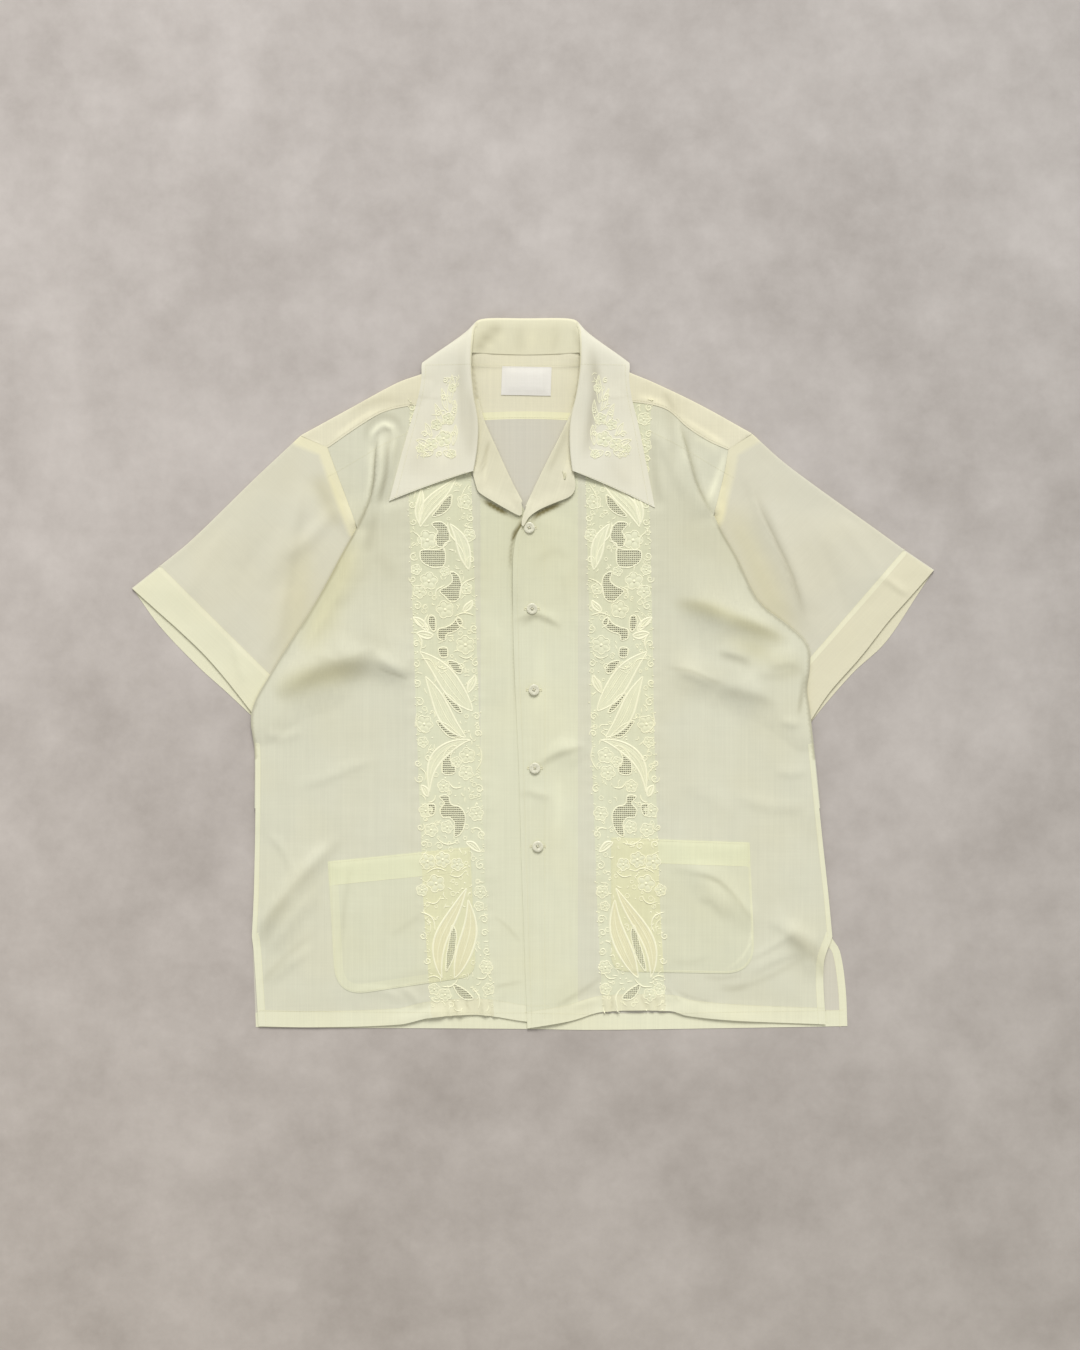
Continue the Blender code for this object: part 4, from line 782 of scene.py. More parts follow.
def front_height(piece, front, sleeve, rim):
    """The height of a front's middle surface: the solid's own form and the cloth's small creases."""
    over_sleeve, over_self = sleeve_zone(front, sleeve), side_zone(front)
    left = piece == "front_left"
    lap = LAYER + LAP_AIR if left else 0.0
    sleeve_lift = FLOOR_LAYER + FOLDED + LAYER + FOLDED - FRONT_LAYER
    hem, fold, edge = curve(front.hem, COARSE), curve(front.fold, 12), curve(front.edge, 12)

    def height(x, y):
        x, y = np.asarray(x, dtype=float), np.asarray(y, dtype=float)
        lift = np.maximum(sleeve_lift * near(x, y, over_sleeve, LIFT_FADE),
                          FOLDED * near(x, y, over_self, LIFT_FADE))
        lift = np.maximum(lift, lap * near(x, y, PLACKET_LAP, PLACKET_FADE))
        rise = smooth(line_distance(x, y, rim, closed=True) / SWELL_REACH)
        pressed = near(x, y, COLLAR_SHADE, PRESSED_FADE)
        if not left:
            pressed = np.maximum(pressed, near(x, y, PLACKET_LAP, PLACKET_FADE))
        off_band = np.abs(x - band_middle(y, left)) - BAND_HALF
        tug = np.exp(-(np.maximum(off_band, 0) / TUG_REACH)**2) * smooth((off_band + 14) / 10)
        pucker = PUCKER * tug * np.sin(y / 2.6 + 1.7 * np.sin(y / 19.0))
        over_hem = smooth(1 - line_distance(x, y, hem) / GATHER_REACH) * smooth(1 - off_band / 12.0)
        gather = over_hem * (0.5 + np.sin(x / 2.6 + 2.3 * np.sin(x / 6.7) + y / 13.0))
        small = creases(piece, x, y) * smooth(rise * 4) + rumple(x, y, 46, 0.7, 3.1) * smooth(rise * 2)
        small = small + rumple(x, y, 13, 0.16, 7.7) + pucker + gather + laps(piece, x, y)
        waves = ridges(piece, x, y)
        turned = TURN_ROUNDS * np.exp(-(line_distance(x, y, fold) / TURN_REACH)**2) * smooth((y + 90) / 60)
        if left:
            settled = np.exp(-(line_distance(x, y, edge) / 6.0)**2) * smooth((110 - y) / 50)
            turned = turned + EDGE_SETTLES * settled
        floor = FRONT_LAYER + lift + neck_rise(x, y) - turned
        return floor + np.maximum((SWELL * rise + waves + small) * (1 - pressed), -DEEPEST)

    return height


Shell = namedtuple("Shell", "points faces rim")


def fill(rim, step, lines=()):
    """Triangles about one step wide over an outline, with every given line among their edges."""
    points = list(rim)
    edges = [(i, (i + 1) % len(rim)) for i in range(len(rim))]
    for line, closed in lines:
        first = len(points)
        points += line
        edges += [(first + i, first + i + 1) for i in range(len(line) - 1)]
        if closed:
            edges.append((first + len(line) - 1, first))
    tree = KDTree(len(points))
    for i, p in enumerate(points):
        tree.insert((p.x, p.y, 0), i)
    tree.balance()
    low_x, high_x = min(p.x for p in rim), max(p.x for p in rim)
    low_y, high_y = min(p.y for p in rim), max(p.y for p in rim)
    rows = int((high_y - low_y) / (step * 0.87))
    columns = int((high_x - low_x) / step)
    for row in range(1, rows + 1):
        y = low_y + row * step * 0.87
        for column in range(columns + 1):
            x = low_x + (column + (row % 2) / 2) * step
            if tree.find((x, y, 0))[2] > step * 0.6:
                points.append(Vector((x, y)))
    flat, _, faces, sources, _, _ = delaunay_2d_cdt(points, edges, [], 1, 1e-5)
    place = {source: i for i, found in enumerate(sources) for source in found}
    used = sorted({i for f in faces for i in f})
    new = {old: i for i, old in enumerate(used)}
    points = np.array([flat[i] for i in used])
    return Shell(points, np.array([[new[i] for i in f] for f in faces]), [new[place[i]] for i in range(len(rim))])


def lifted(shell, height):
    """A flat shell's points with their heights."""
    return np.column_stack([shell.points, height(shell.points[:, 0], shell.points[:, 1])])


def placed(name, data):
    """A new object in the scene."""
    made = bpy.data.objects.new(name, data)
    bpy.context.scene.collection.objects.link(made)
    return made


def thicken(made, thickness, offset):
    """Give a surface its wall."""
    wall = made.modifiers.new("wall", "SOLIDIFY")
    wall.thickness = thickness * MM
    wall.offset = offset
    return wall


def cover(made, piece):
    """A piece of cloth takes the place of its solid."""
    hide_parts(piece)


class Builder:
    """Gathers points, faces and their material slots for one mesh."""

    def __init__(self):
        self.points, self.faces, self.slots = [], [], []
        self.count = 0

    def add(self, points, faces):
        """Add points and their faces. Returns the first point's number."""
        start = self.count
        self.points.append(np.asarray(points, dtype=float))
        self.faces += [[start + i for i in f] for f in faces]
        self.count += len(points)
        return start

    def roll(self, upper, lower, outward, reach):
        """Carry the cloth round a fold from one row of points to another."""
        every = np.concatenate(self.points)
        top, bottom = every[upper], every[lower]
        out = np.array([[v.x, v.y, 0.0] for v in outward])
        rows = [list(upper)]
        for k in range(1, ROLL_FACETS):
            angle = math.pi * k / ROLL_FACETS
            row = (top + bottom) / 2 + (top - bottom) / 2 * math.cos(angle) + out * reach * math.sin(angle)
            start = self.add(row, [])
            rows.append(list(range(start, start + len(row))))
        rows.append(list(lower))
        for row, following in zip(rows, rows[1:]):
            for i in range(len(row) - 1):
                self.faces.append([row[i], row[i + 1], following[i + 1], following[i]])

    def build(self, name, looks, thickness=THIN, tones=None):
        """The gathered mesh as an object with its looks, its wall and its tones."""
        data = bpy.data.meshes.new(name)
        data.from_pydata((np.concatenate(self.points) * MM).tolist(), [], self.faces)
        numbers = [int(s) for s in self.slots] + [0] * (len(self.faces) - len(self.slots))
        data.polygons.foreach_set("material_index", numbers)
        mesh = bmesh.new()
        mesh.from_mesh(data)
        bmesh.ops.recalc_face_normals(mesh, faces=mesh.faces)
        for edge in mesh.edges:
            edge.smooth = not edge.is_boundary
        mesh.to_mesh(data)
        mesh.free()
        for look in looks:
            data.materials.append(look)
        if tones:
            every = np.concatenate(self.points)
            for kind in TONE_KINDS:
                layer = data.attributes.new(kind, "FLOAT", "POINT")
                layer.data.foreach_set("value", tones(kind, every[:, 0], every[:, 1]))
        data.shade_smooth()
        made = placed(name, data)
        if thickness:
            thicken(made, thickness, 0.0).use_quality_normals = True
        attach(made, "root")
        return made


def height_on(tree, x, y):
    """The height of a surface under a point, or None beside it."""
    hit = tree.ray_cast(Vector((x, y, ABOVE_ALL)), Vector((0, 0, -1)))[0]
    return hit.z if hit else None


# A thread's section: how far to each side and how high its edges run, as shares of its half width and its rise
LAID_SECTION = ((-1.0, -0.25), (-0.55, 0.85), (0.0, 1.0), (0.55, 0.85), (1.0, -0.25))
ROUND_SECTION = ((-1.0, 0.0), (0.0, 1.0), (1.0, 0.0), (0.0, -1.0))


class Threads:
    """Raised threads sewn on a surface: strips, net and dots, gathered for one mesh."""

    def __init__(self, tree, base=THIN / 2):
        self.tree, self.base = tree, base
        self.flat, self.lifts, self.faces, self.tones, self.count, self.tone = [], [], [], [], 0, 0

    def strip(self, line, width, rise, taper=0.4, closed=False, round_under=False, lift=0.0):
        """A strip along a line, narrower at its ends unless it is closed."""
        line = np.asarray([tuple(p) for p in line], dtype=float)
        if len(line) < 2:
            return
        if closed:
            along = np.roll(line, -1, axis=0) - np.roll(line, 1, axis=0)
        else:
            along = np.gradient(line, axis=0)
        along /= np.maximum(np.hypot(along[:, 0], along[:, 1]), 1e-9)[:, None]
        across = np.column_stack([-along[:, 1], along[:, 0]])
        share = np.linspace(0.0, 1.0, len(line))
        half = np.full(len(line), width / 2)
        if not closed:
            half = half * (taper + (1 - taper) * np.sin(np.pi * share)**0.6)
        section = ROUND_SECTION if round_under else LAID_SECTION
        start, wide = self.count, len(section)
        for side, up in section:
            self.flat.append(line + across * (side * half)[:, None])
            self.lifts.append(lift + up * rise * (half / (width / 2))**0.5)
        n = len(line)
        self.count += n * wide
        last = n if closed else n - 1
        pairs = wide if round_under else wide - 1
        for k in range(pairs):
            a, b = start + k * n, start + ((k + 1) % wide) * n
            for i in range(last):
                j = (i + 1) % n
                self.faces.append((a + i, a + j, b + j, b + i))
        self.tones += [self.tone] * (last * pairs)

    def dome(self, x, y, radius, rise, sides=8, wide=None, angle=0.0):
        """A round or oval boss of thread; an oval one is radius long, at an angle, and wide across."""
        start = self.count
        wide = wide or radius
        turns = 2 * np.pi * np.arange(sides) / sides
        for share, up in ((1.0, -0.1), (0.66, 0.75)):
            along, across = radius * share * np.cos(turns), wide * share * np.sin(turns)
            self.flat.append(np.column_stack([x + along * math.cos(angle) - across * math.sin(angle),
                                              y + along * math.sin(angle) + across * math.cos(angle)]))
            self.lifts.append(np.full(sides, rise * up))
        self.flat.append(np.array([[x, y]]))
        self.lifts.append(np.array([rise]))
        for k in range(sides):
            m = (k + 1) % sides
            self.faces.append((start + k, start + m, start + sides + m, start + sides + k))
            self.faces.append((start + sides + k, start + sides + m, start + 2 * sides))
        self.tones += [self.tone] * (2 * sides)
        self.count += 2 * sides + 1

    def build(self, name, *tones, slot="linen"):
        """Lay the threads on the surface and make their mesh."""
        flat, lifts = np.concatenate(self.flat), np.concatenate(self.lifts)
        hits = [height_on(self.tree, x, y) for x, y in flat.tolist()]
        high = np.array([np.nan if hit is None else hit for hit in hits])
        if np.isnan(high).any():
            high[np.isnan(high)] = np.nanmedian(high)
        points = np.column_stack([flat, high + self.base + lifts]) * MM
        data = bpy.data.meshes.new(name)
        data.from_pydata(points.tolist(), [], self.faces)
        for look in tones:
            data.materials.append(look)
        data.polygons.foreach_set("material_index", self.tones)
        data.shade_smooth()
        made = placed(name, data)
        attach(made, "root")


# Embroidery. s runs from a band's middle line outwards, away from the placket; y is the shirt's own.
Leaf = namedtuple("Leaf", "base_s base_y tip_s tip_y bulge_out bulge_in veins")
LEAVES = [Leaf(*row) for row in (
    (22, 155, -17, 206, 11, -2, 2), (23, 158, 20, 196, 4, -3, 1), (-27, 110, -9, 158, 2, -10, 1),
    (-26, -38, 27, 24, 8, -12, 2), (-18, -66, 22, -2, 12, -3, 1), (-23, -69, 22, -123, -10, -22, 1),
    (19, -318, -13, -224, 17, 4, 1), (6, -318, -14, -236, 1, -15, 1), (12, 41, 30, 43, 4, -3, 1),
    (17, 46, 33, 60, 2, -4, 1), (-22, -19, -30, 0, 2, -4, 1), (-20, 66, -30, 78, 2, -4, 1),
    (24, -128, 31, -116, 2, -4, 1), (-14, -176, -29, -186, 4, -2, 1),
)]
HOLES = (
    ((-12, 188), (-10, 176), (-1, 168), (9, 166), (2, 175), (-5, 184)),
    ((10, 158), (0, 160), (-8, 152), (-8, 142), (-2, 134), (5, 135), (8, 142), (4, 150)),
    ((23, 129), (14, 131), (5, 131), (-2, 132), (-3, 123), (-1, 114), (8, 112), (15, 114), (22, 119)),
    ((-8, 108), (-16, 104), (-19, 93), (-16, 80), (-8, 76), (-1, 82), (4, 88), (-5, 93), (-10, 99)),
    ((15, 62), (10, 60), (9, 50), (11, 45), (15, 48), (17, 55)),
    ((7, 47), (-2, 50), (-9, 54), (-14, 60), (-19, 54), (-12, 46), (-2, 42), (0, 36), (7, 38)),
    ((7, 27), (-1, 28), (-2, 19), (5, 18)),
    ((-2, 14), (-11, 13), (-17, 7), (-15, 1), (-8, 4)),
    ((4, -20), (-3, -22), (-10, -30), (-15, -40), (-9, -38), (-2, -30)),
    ((12, -49), (2, -52), (-6, -58), (-13, -66), (-3, -66), (5, -60)),
    ((-8, -75), (-2, -76), (5, -83), (8, -94), (7, -104), (-4, -104), (-6, -97), (-1, -90), (-3, -82)),
    ((12, -128), (3, -127), (0, -136), (-9, -139), (-14, -147), (-13, -159), (-8, -168), (-2, -169),
     (-3, -157), (2, -150), (9, -150), (12, -142), (7, -135)),
    ((24, -136), (17, -137), (18, -146), (23, -148)),
    ((5, -263), (1, -270), (2, -283), (6, -298), (14, -311), (13, -296), (9, -280)),
    ((8, -325), (0, -328), (-7, -333), (-12, -340), (-4, -341), (3, -336)),
)
Flower = namedtuple("Flower", "s y radius petals")
FLOWERS = [Flower(*row) for row in (
    (15, 141, 10, 5), (15, 98, 9, 5), (25, 87, 7, 5), (-1, 68, 9, 5), (-21, 31, 9.5, 6), (25, -52, 9, 6),
    (-19, -85, 8, 5), (-7, -92, 5.5, 5), (-17, -103, 7.5, 5), (7, -117, 6.5, 5), (5, -160, 6.5, 5),
    (-26, -146, 7.5, 6), (27, -143, 7, 5), (22, -163, 7, 5), (27, -196, 8, 5), (11, -194, 8, 6), (-4, -199, 6.5, 5),
    (19, -219, 9, 5), (34, -226, 6, 5), (-27, -228, 6.5, 5), (-25, -243, 5, 5), (-28, -307, 7, 6), (17, -336, 6.5, 5),
    (-29, -330, 6, 5), (-25, 181, 7.5, 5), (-29, 146, 6.5, 5), (-24, 90, 6, 5), (28, 110, 5.5, 5), (4, 8, 6, 5),
    (27, 214, 6.5, 5), (28, 240, 7, 6), (26, 268, 6.5, 5), (24, 226, 4.5, 5), (27, -71, 5.5, 5), (-2, 108, 5, 5),
    (28, -330, 6, 5),
)]
Scroll = namedtuple("Scroll", "s y radius start hand")
SCROLLS = [Scroll(*row) for row in (
    (30, 124, 5, 200, 1), (32, 100, 4.2, 30, -1), (31, 11, 4.2, 90, 1), (31, -9, 4.4, 300, -1), (29, -29, 5, 60, 1),
    (33, -93, 4, 180, 1), (32, -109, 5, 20, -1), (33, -160, 4.6, 120, 1), (-30, 120, 4.6, 330, 1),
    (-31, 164, 4.4, 60, -1), (-31, 48, 4.6, 240, 1), (-31, 12, 4.2, 100, -1), (-30, -44, 4.4, 0, 1),
    (-31, -62, 4.2, 200, -1), (-30, -120, 4.8, 40, 1), (-31, -168, 4.6, 280, 1), (-28, -200, 5, 90, -1),
    (-29, -257, 5.2, 0, 1), (-29, -271, 4, 160, -1), (-30, -290, 4.4, 220, 1), (36, -274, 4.4, 90, 1),
    (33, -300, 4, 10, -1), (30, 178, 4.4, 140, 1), (29, 160, 4, 20, -1), (28, 72, 4.6, 80, 1), (30, 32, 4.4, 200, -1),
    (22, -87, 4.4, 140, 1), (-16, 8, 3.6, 60, 1), (32, 252, 4.2, 40, 1), (31, 226, 4, 200, -1), (31, 280, 4, 90, 1),
    (14, -180, 4.6, 10, 1), (30, -178, 4.4, 250, -1),
)]
Arc = namedtuple("Arc", "s0 y0 s1 y1 bend width")
ARCS = [Arc(*row) for row in (
    (-7, 160, -15, 139, 3, 2.4), (-15, 139, -24, 112, -3, 1.9), (-2, 129, -10, 140, -4, 2.0),
    (-33, 101, -17, 80, 6, 1.8), (-31, 62, -11, 61, 3, 1.6), (-14, 62, -20, 49, 4, 1.9), (33, 60, 17, 50, 4, 1.7),
    (17, 63, 17, 44, 4, 2.2), (30, 44, 27, 24, -4, 2.0), (-30, -2, -22, -20, 4, 1.8), (-12, -329, -17, -350, -4, 2.0),
    (-20, -162, -32, -168, -4, 1.7), (37, -249, 23, -268, -6, 1.8), (33, -256, 28, -270, -3, 1.2),
    (26, -111, 31, -98, 3, 1.4), (20, -327, 2, -319, 4, 1.6), (34, -318, 20, -320, -3, 1.5),
    (-17, -318, -30, -312, 4, 1.5), (30, 150, 22, 132, -4, 1.6), (0, 92, 8, 80, 4, 1.6), (32, -40, 24, -62, 5, 1.5),
    (12, 12, -6, 10, 5, 1.4), (26, 16, 12, 8, -4, 1.4), (2, -112, -12, -118, 4, 1.6), (16, -126, 24, -134, -3, 1.6),
    (-4, -176, 16, -172, -4, 1.5), (-30, 22, -14, 20, -4, 1.5), (-28, -100, -32, -76, 4, 1.4),
    (8, -206, 28, -208, 4, 1.5), (-12, -206, 4, -210, -4, 1.4), (30, -238, 14, -232, 5, 1.4),
    (-30, 200, -22, 170, 4, 1.5), (31, 200, 28, 184, -3, 1.4),
)]
# The bands' threads, by width or by width and rise, and the spacing and number of what fills the bands
SATIN = 2.6
SATIN_RISE = 0.55
VEIN = 1.1
RIM_THREAD = (1.5, SATIN_RISE)
PETAL_THREAD = (1.15, 0.45)
SCROLL_THREAD = (1.4, 0.55)
STROKE_THREAD = (1.3, 0.5)
FINE_THREAD = (0.85, 0.4)
FILL_PITCH = 2.0
PETAL_RISE = 0.3
HOLE_STEP = 1.6
NET_PITCH = 2.1
NET_THREAD = 1.08
SPRINKLES = 330
SPOTS_TRIED = 3400
STROKES = 0.45
RINGS = 0.3
SPOTS_FROM = -352
STROKES_FROM = -350.0
BAND_TO = 284
ON_POCKET = -300
RIM_STROKES = 3.4


def leaf_edges(leaf):
    """The two edges of a leaf from its base to its tip, as points of a band."""
    base, tip = np.array([leaf.base_s, leaf.base_y]), np.array([leaf.tip_s, leaf.tip_y])
    chord = tip - base
    length = math.hypot(*chord)
    normal = np.array([chord[1], -chord[0]]) / length
    t = np.linspace(0, 1, max(5, int(length / 1.6)))
    belly = np.sin(np.pi * t**0.85)**0.9
    hook = 0.06 * length * np.sin(np.pi * t * 2)
    lines = []
    for bulge in (leaf.bulge_out, leaf.bulge_in):
        lines.append(base + chord * t[:, None] + normal * (bulge * belly + 0.35 * hook)[:, None])
    return lines


def closed_curve(points, step):
    """A smooth closed outline through a few points."""
    given = [Vector(p) for p in points]
    n = len(given)
    made = []
    for i in range(n):
        a, b, c, d = given[i - 1], given[i], given[(i + 1) % n], given[(i + 2) % n]
        parts = max(2, round((c - b).length / step))
        made += [between(b, (c - a) * 0.5, c, (d - b) * 0.5, k / parts) for k in range(parts)]
    return np.array([tuple(p) for p in made])


def on_band(points, left):
    """Band points in the shirt's own x and y."""
    points = np.asarray(points, dtype=float)
    middle = band_middle(points[:, 1], left)
    return np.column_stack([middle + points[:, 0] * (1 if left else -1), points[:, 1]])


def around(s, y, radius, angles):
    """Points round a centre."""
    return np.column_stack([s + radius * np.cos(angles), y + radius * np.sin(angles)])


def dot(threads, place, s, y, radius, rise, sides=6):
    """A round boss of thread."""
    x, y = place(np.array([[s, y]]))[0]
    threads.dome(x, y, radius, rise, sides)


def rosette(threads, place, s, y, radius, petals, seed):
    """A flower: raised oval petals, a fine lobed outline, and an eye."""
    turn = seed * 1.7
    threads.tone = 1
    for k in range(petals):
        angle = turn + 2 * math.pi * k / petals
        centre, tip = place(np.array([[s + 0.58 * radius * math.cos(angle), y + 0.58 * radius * math.sin(angle)],
                                      [s + radius * math.cos(angle), y + radius * math.sin(angle)]]))
        threads.dome(centre[0], centre[1], 0.42 * radius, PETAL_RISE, sides=10,
                     wide=0.95 * 0.58 * radius * math.sin(math.pi / petals),
                     angle=math.atan2(tip[1] - centre[1], tip[0] - centre[0]))
    threads.tone = 0
    a = np.linspace(0, 2 * np.pi, max(20, int(radius * 4)), endpoint=False)
    lobes = 0.74 + 0.30 * np.abs(np.cos(petals * (a - turn) / 2))**0.7
    threads.strip(place(around(s, y, radius * lobes, a)), *PETAL_THREAD, closed=True)
    dot(threads, place, s, y, 0.2 * radius, 0.95, sides=8)


def spiral(threads, place, scroll):
    """A scroll of thread that ends in a dot."""
    t = np.linspace(0, 1, 16)
    angle = math.radians(scroll.start) + scroll.hand * 2 * math.pi * 1.15 * t
    r = scroll.radius * (1 - 0.78 * t)
    line = around(scroll.s, scroll.y, r, angle)
    threads.strip(place(line), *SCROLL_THREAD, taper=0.5)
    dot(threads, place, *line[-1], 0.75, 0.6)


def bowed(s0, y0, s1, y1, bend, step=1.5):
    """A line from one point to another, bent to one side."""
    start, end = np.array([s0, y0], dtype=float), np.array([s1, y1], dtype=float)
    chord = end - start
    length = math.hypot(*chord)
    normal = np.array([-chord[1], chord[0]]) / length
    t = np.linspace(0, 1, max(4, int(length / step)))
    return start + chord * t[:, None] + normal * (bend * np.sin(np.pi * t))[:, None]


def spans(kept):
    """The start and the end of each unbroken run of true values."""
    edges = np.flatnonzero(np.diff(np.concatenate([[0], kept.astype(int), [0]]))).tolist()
    return zip(edges[::2], edges[1::2])


def net_over(net, rim):
    """Threads both ways over an opening."""
    low, high = rim.min(axis=0), rim.max(axis=0)
    for axis in (0, 1):
        first = math.floor(low[1 - axis] / NET_PITCH)
        for k in range(first, math.ceil(high[1 - axis] / NET_PITCH) + 1):
            along = np.arange(low[axis] - 1.0, high[axis] + 1.0, 0.9)
            line = np.zeros((len(along), 2))
            line[:, axis] = along
            line[:, 1 - axis] = k * NET_PITCH + 0.08 * np.sin(along / 3.1 + k)
            for start, end in spans(inside(line[:, 0], line[:, 1], rim)):
                run = line[max(start - 1, 0):end + 1]
                if len(run) >= 3:
                    net.strip(run, NET_THREAD, NET_THREAD * 0.36, taper=1.0, round_under=True,
                              lift=-0.1 if axis else 0.12)


def sew_leaf(satin, place, leaf):
    """A leaf in satin stitch, with its filling and its veins. Returns its outline."""
    out, back = leaf_edges(leaf)

    def strand(share, first, last):
        line = out * (1 - share) + back * share
        return line[int(len(line) * first):int(len(line) * last)]

    for edge in (out, back):
        satin.strip(place(edge), SATIN, SATIN_RISE, taper=0.55)
    satin.tone = 2 if leaf.base_y < ON_POCKET else 1
    strands = max(2, round(np.hypot(*(out - back).T).max() / FILL_PITCH))
    for k in range(strands):
        satin.strip(place(strand((k + 0.5) / strands, 0.05, 0.97)), FILL_PITCH * 1.25, 0.2, taper=0.35)
    satin.tone = 0
    for k in range(leaf.veins):
        vein = strand((k + 1) / (leaf.veins + 1), 0.12, 0.9 - 0.1 * (k % 2))
        if len(vein) > 3:
            satin.strip(place(vein), VEIN, 0.5, taper=0.3)
    return np.concatenate([out, back[::-1]])


def sprinkle(satin, place, chance, taken):
    """Short strokes, rings and dots between the larger motifs."""
    spots = np.array([(chance.uniform(-BAND_HALF + 1, BAND_HALF - 1), chance.uniform(SPOTS_FROM, BAND_TO))
                      for _ in range(SPOTS_TRIED)])
    clear = np.ones(len(spots), dtype=bool)
    for shape in taken:
        clear &= ~inside(spots[:, 0], spots[:, 1], shape)
        clear &= line_distance(spots[:, 0], spots[:, 1], shape, True) > 2.2
    for motif, gap in [(f, 1.5) for f in FLOWERS] + [(c, 1.0) for c in SCROLLS]:
        clear &= np.hypot(spots[:, 0] - motif.s, spots[:, 1] - motif.y) > motif.radius + gap
    for s, y in spots[clear][:SPRINKLES].tolist():
        kind, angle = chance.random(), chance.uniform(0, 2 * math.pi)
        r = chance.uniform(1.6, 3.6)
        if kind < STROKES:
            run, rise = r * math.cos(angle), r * math.sin(angle)
            stroke = bowed(s - run, y - rise, s + run, y + rise, chance.uniform(-1.9, 1.9), 1.2)
            satin.strip(place(stroke), *STROKE_THREAD)
        elif kind < STROKES + RINGS:
            ring = np.linspace(0, 2 * np.pi, 9, endpoint=False)
            satin.strip(place(around(s, y, 0.7 * r, ring)), *FINE_THREAD, closed=True)
        else:
            dot(satin, place, s, y, chance.uniform(0.7, 1.2), 0.55)


def edge_strokes(satin, place, chance):
    """Short strokes and dots along both edges of a band."""
    for side in (-1, 1):
        y = STROKES_FROM
        while y < BAND_TO:
            y += chance.uniform(0.7, 1.6) * RIM_STROKES
            reach, lean = chance.uniform(2.0, 4.6), chance.uniform(-2.2, 2.2)
            s = side * (BAND_HALF + chance.uniform(-1.5, 1.0))
            if chance.random() < 0.6:
                stroke = bowed(s, y, s - side * reach, y + lean, chance.uniform(-0.8, 0.8), 1.1)
                satin.strip(place(stroke), *FINE_THREAD)
            if chance.random() < 0.22:
                dot(satin, place, s + side * 0.8, y + 1.2, 0.85, 0.7)


def embroider(left, tree, looks):
    """One band's satin work and its net, draped on the front and its pocket."""
    name = "left" if left else "right"
    chance = random.Random(31 if left else 17)

    def place(points):
        return on_band(points, left)

    satin, net = Threads(tree), Threads(tree)
    taken = [sew_leaf(satin, place, leaf) for leaf in LEAVES]
    for points in HOLES:
        rim = closed_curve(points, HOLE_STEP)
        satin.strip(place(rim), *RIM_THREAD, closed=True)
        taken.append(rim)
        net_over(net, place(rim))
    for number, flower in enumerate(FLOWERS):
        rosette(satin, place, *flower, number)
    for scroll in SCROLLS:
        spiral(satin, place, scroll)
    for arc in ARCS:
        satin.strip(place(bowed(*arc[:5])), arc.width, 0.7)
    sprinkle(satin, place, chance, taken)
    edge_strokes(satin, place, chance)
    satin.build(f"embroidery_{name}", looks["satin"], looks["petal"], looks["pocket_petal"])
    net.build(f"net_{name}", looks["net"])


def holes_of(left):
    """The openings of a band, in the shirt's own x and y."""
    return [on_band(closed_curve(points, HOLE_STEP), left) for points in HOLES]


def runs_inside(lines, rim):
    """The parts of lines that lie within an outline, clear of its edge, as open lines for fill."""
    runs = []
    for line in lines:
        x, y = np.array([tuple(p) for p in line]).T
        keep = inside(x, y, rim) & (line_distance(x, y, rim, True) > 0.8)
        runs += [(line[start:end], False) for start, end in spans(keep) if end - start > 1]
    return runs


def centres(points, faces):
    """The x and the y of each triangle's centre."""
    return points[faces].mean(axis=1)[:, :2].T


def renumbered(faces, count):
    """The points that some faces use, and the new number of each."""
    used = np.unique(faces)
    place = np.full(count, -1)
    place[used] = np.arange(len(used))
    return used, place


def band_edge(left, side):
    """One straight edge of an embroidered band."""
    y = np.arange(-368.0, 290.0, 4.0)
    return [Vector(p) for p in on_band(np.column_stack([np.full(len(y), side * BAND_HALF), y]), left)]


def pocket_outline(pocket, step):
    """A pocket's outline with its two rounded lower corners."""
    inner, outer = Vector(pocket.top_inner), Vector(pocket.top_outer)
    low_outer, low_inner = Vector(pocket.low_outer), Vector(pocket.low_inner)
    runs = [curve((inner, outer), step)]
    corners = ((outer, low_outer, low_inner, POCKET_CORNER), (low_outer, low_inner, inner, POCKET_CORNER * 0.5))
    last = outer
    for before, corner, after, radius in corners:
        start = corner + (before - corner).normalized() * radius
        end = corner + (after - corner).normalized() * radius
        runs.append(curve((last, start), step))
        parts = max(5, int(radius * 1.4 / step))
        runs.append([start * (1 - t)**2 + corner * 2 * t * (1 - t) + end * t**2
                     for t in (k / parts for k in range(parts + 1))])
        last = end
    runs.append(curve((last, inner), step))
    return outline(*runs)


def front_rim(front, facing, side, step):
    """The outline of a front as seen from above."""
    return outline(curve(front.hem, step), curve(front.vent, step), curve(front.side, step),
                   curve(front.fold, step), moved(curve(front.armhole, step), side * 0.1)[1:],
                   curve(front.yoke, step)[1:], moved(curve(facing.roll, step), -side * FACING_GAP)[::-1],
                   curve(front.neck, step), curve(front.edge, step))


# Bands of doubled cloth along the edges
HEM_DEPTH = 17.0
SEAM_BAND = 5.0
VENT_HEM = 7.8
SEAM_SHOWS = -72.0
FACED_TO = 55.0
FACED_ROWS = range(-340, 160, 4)


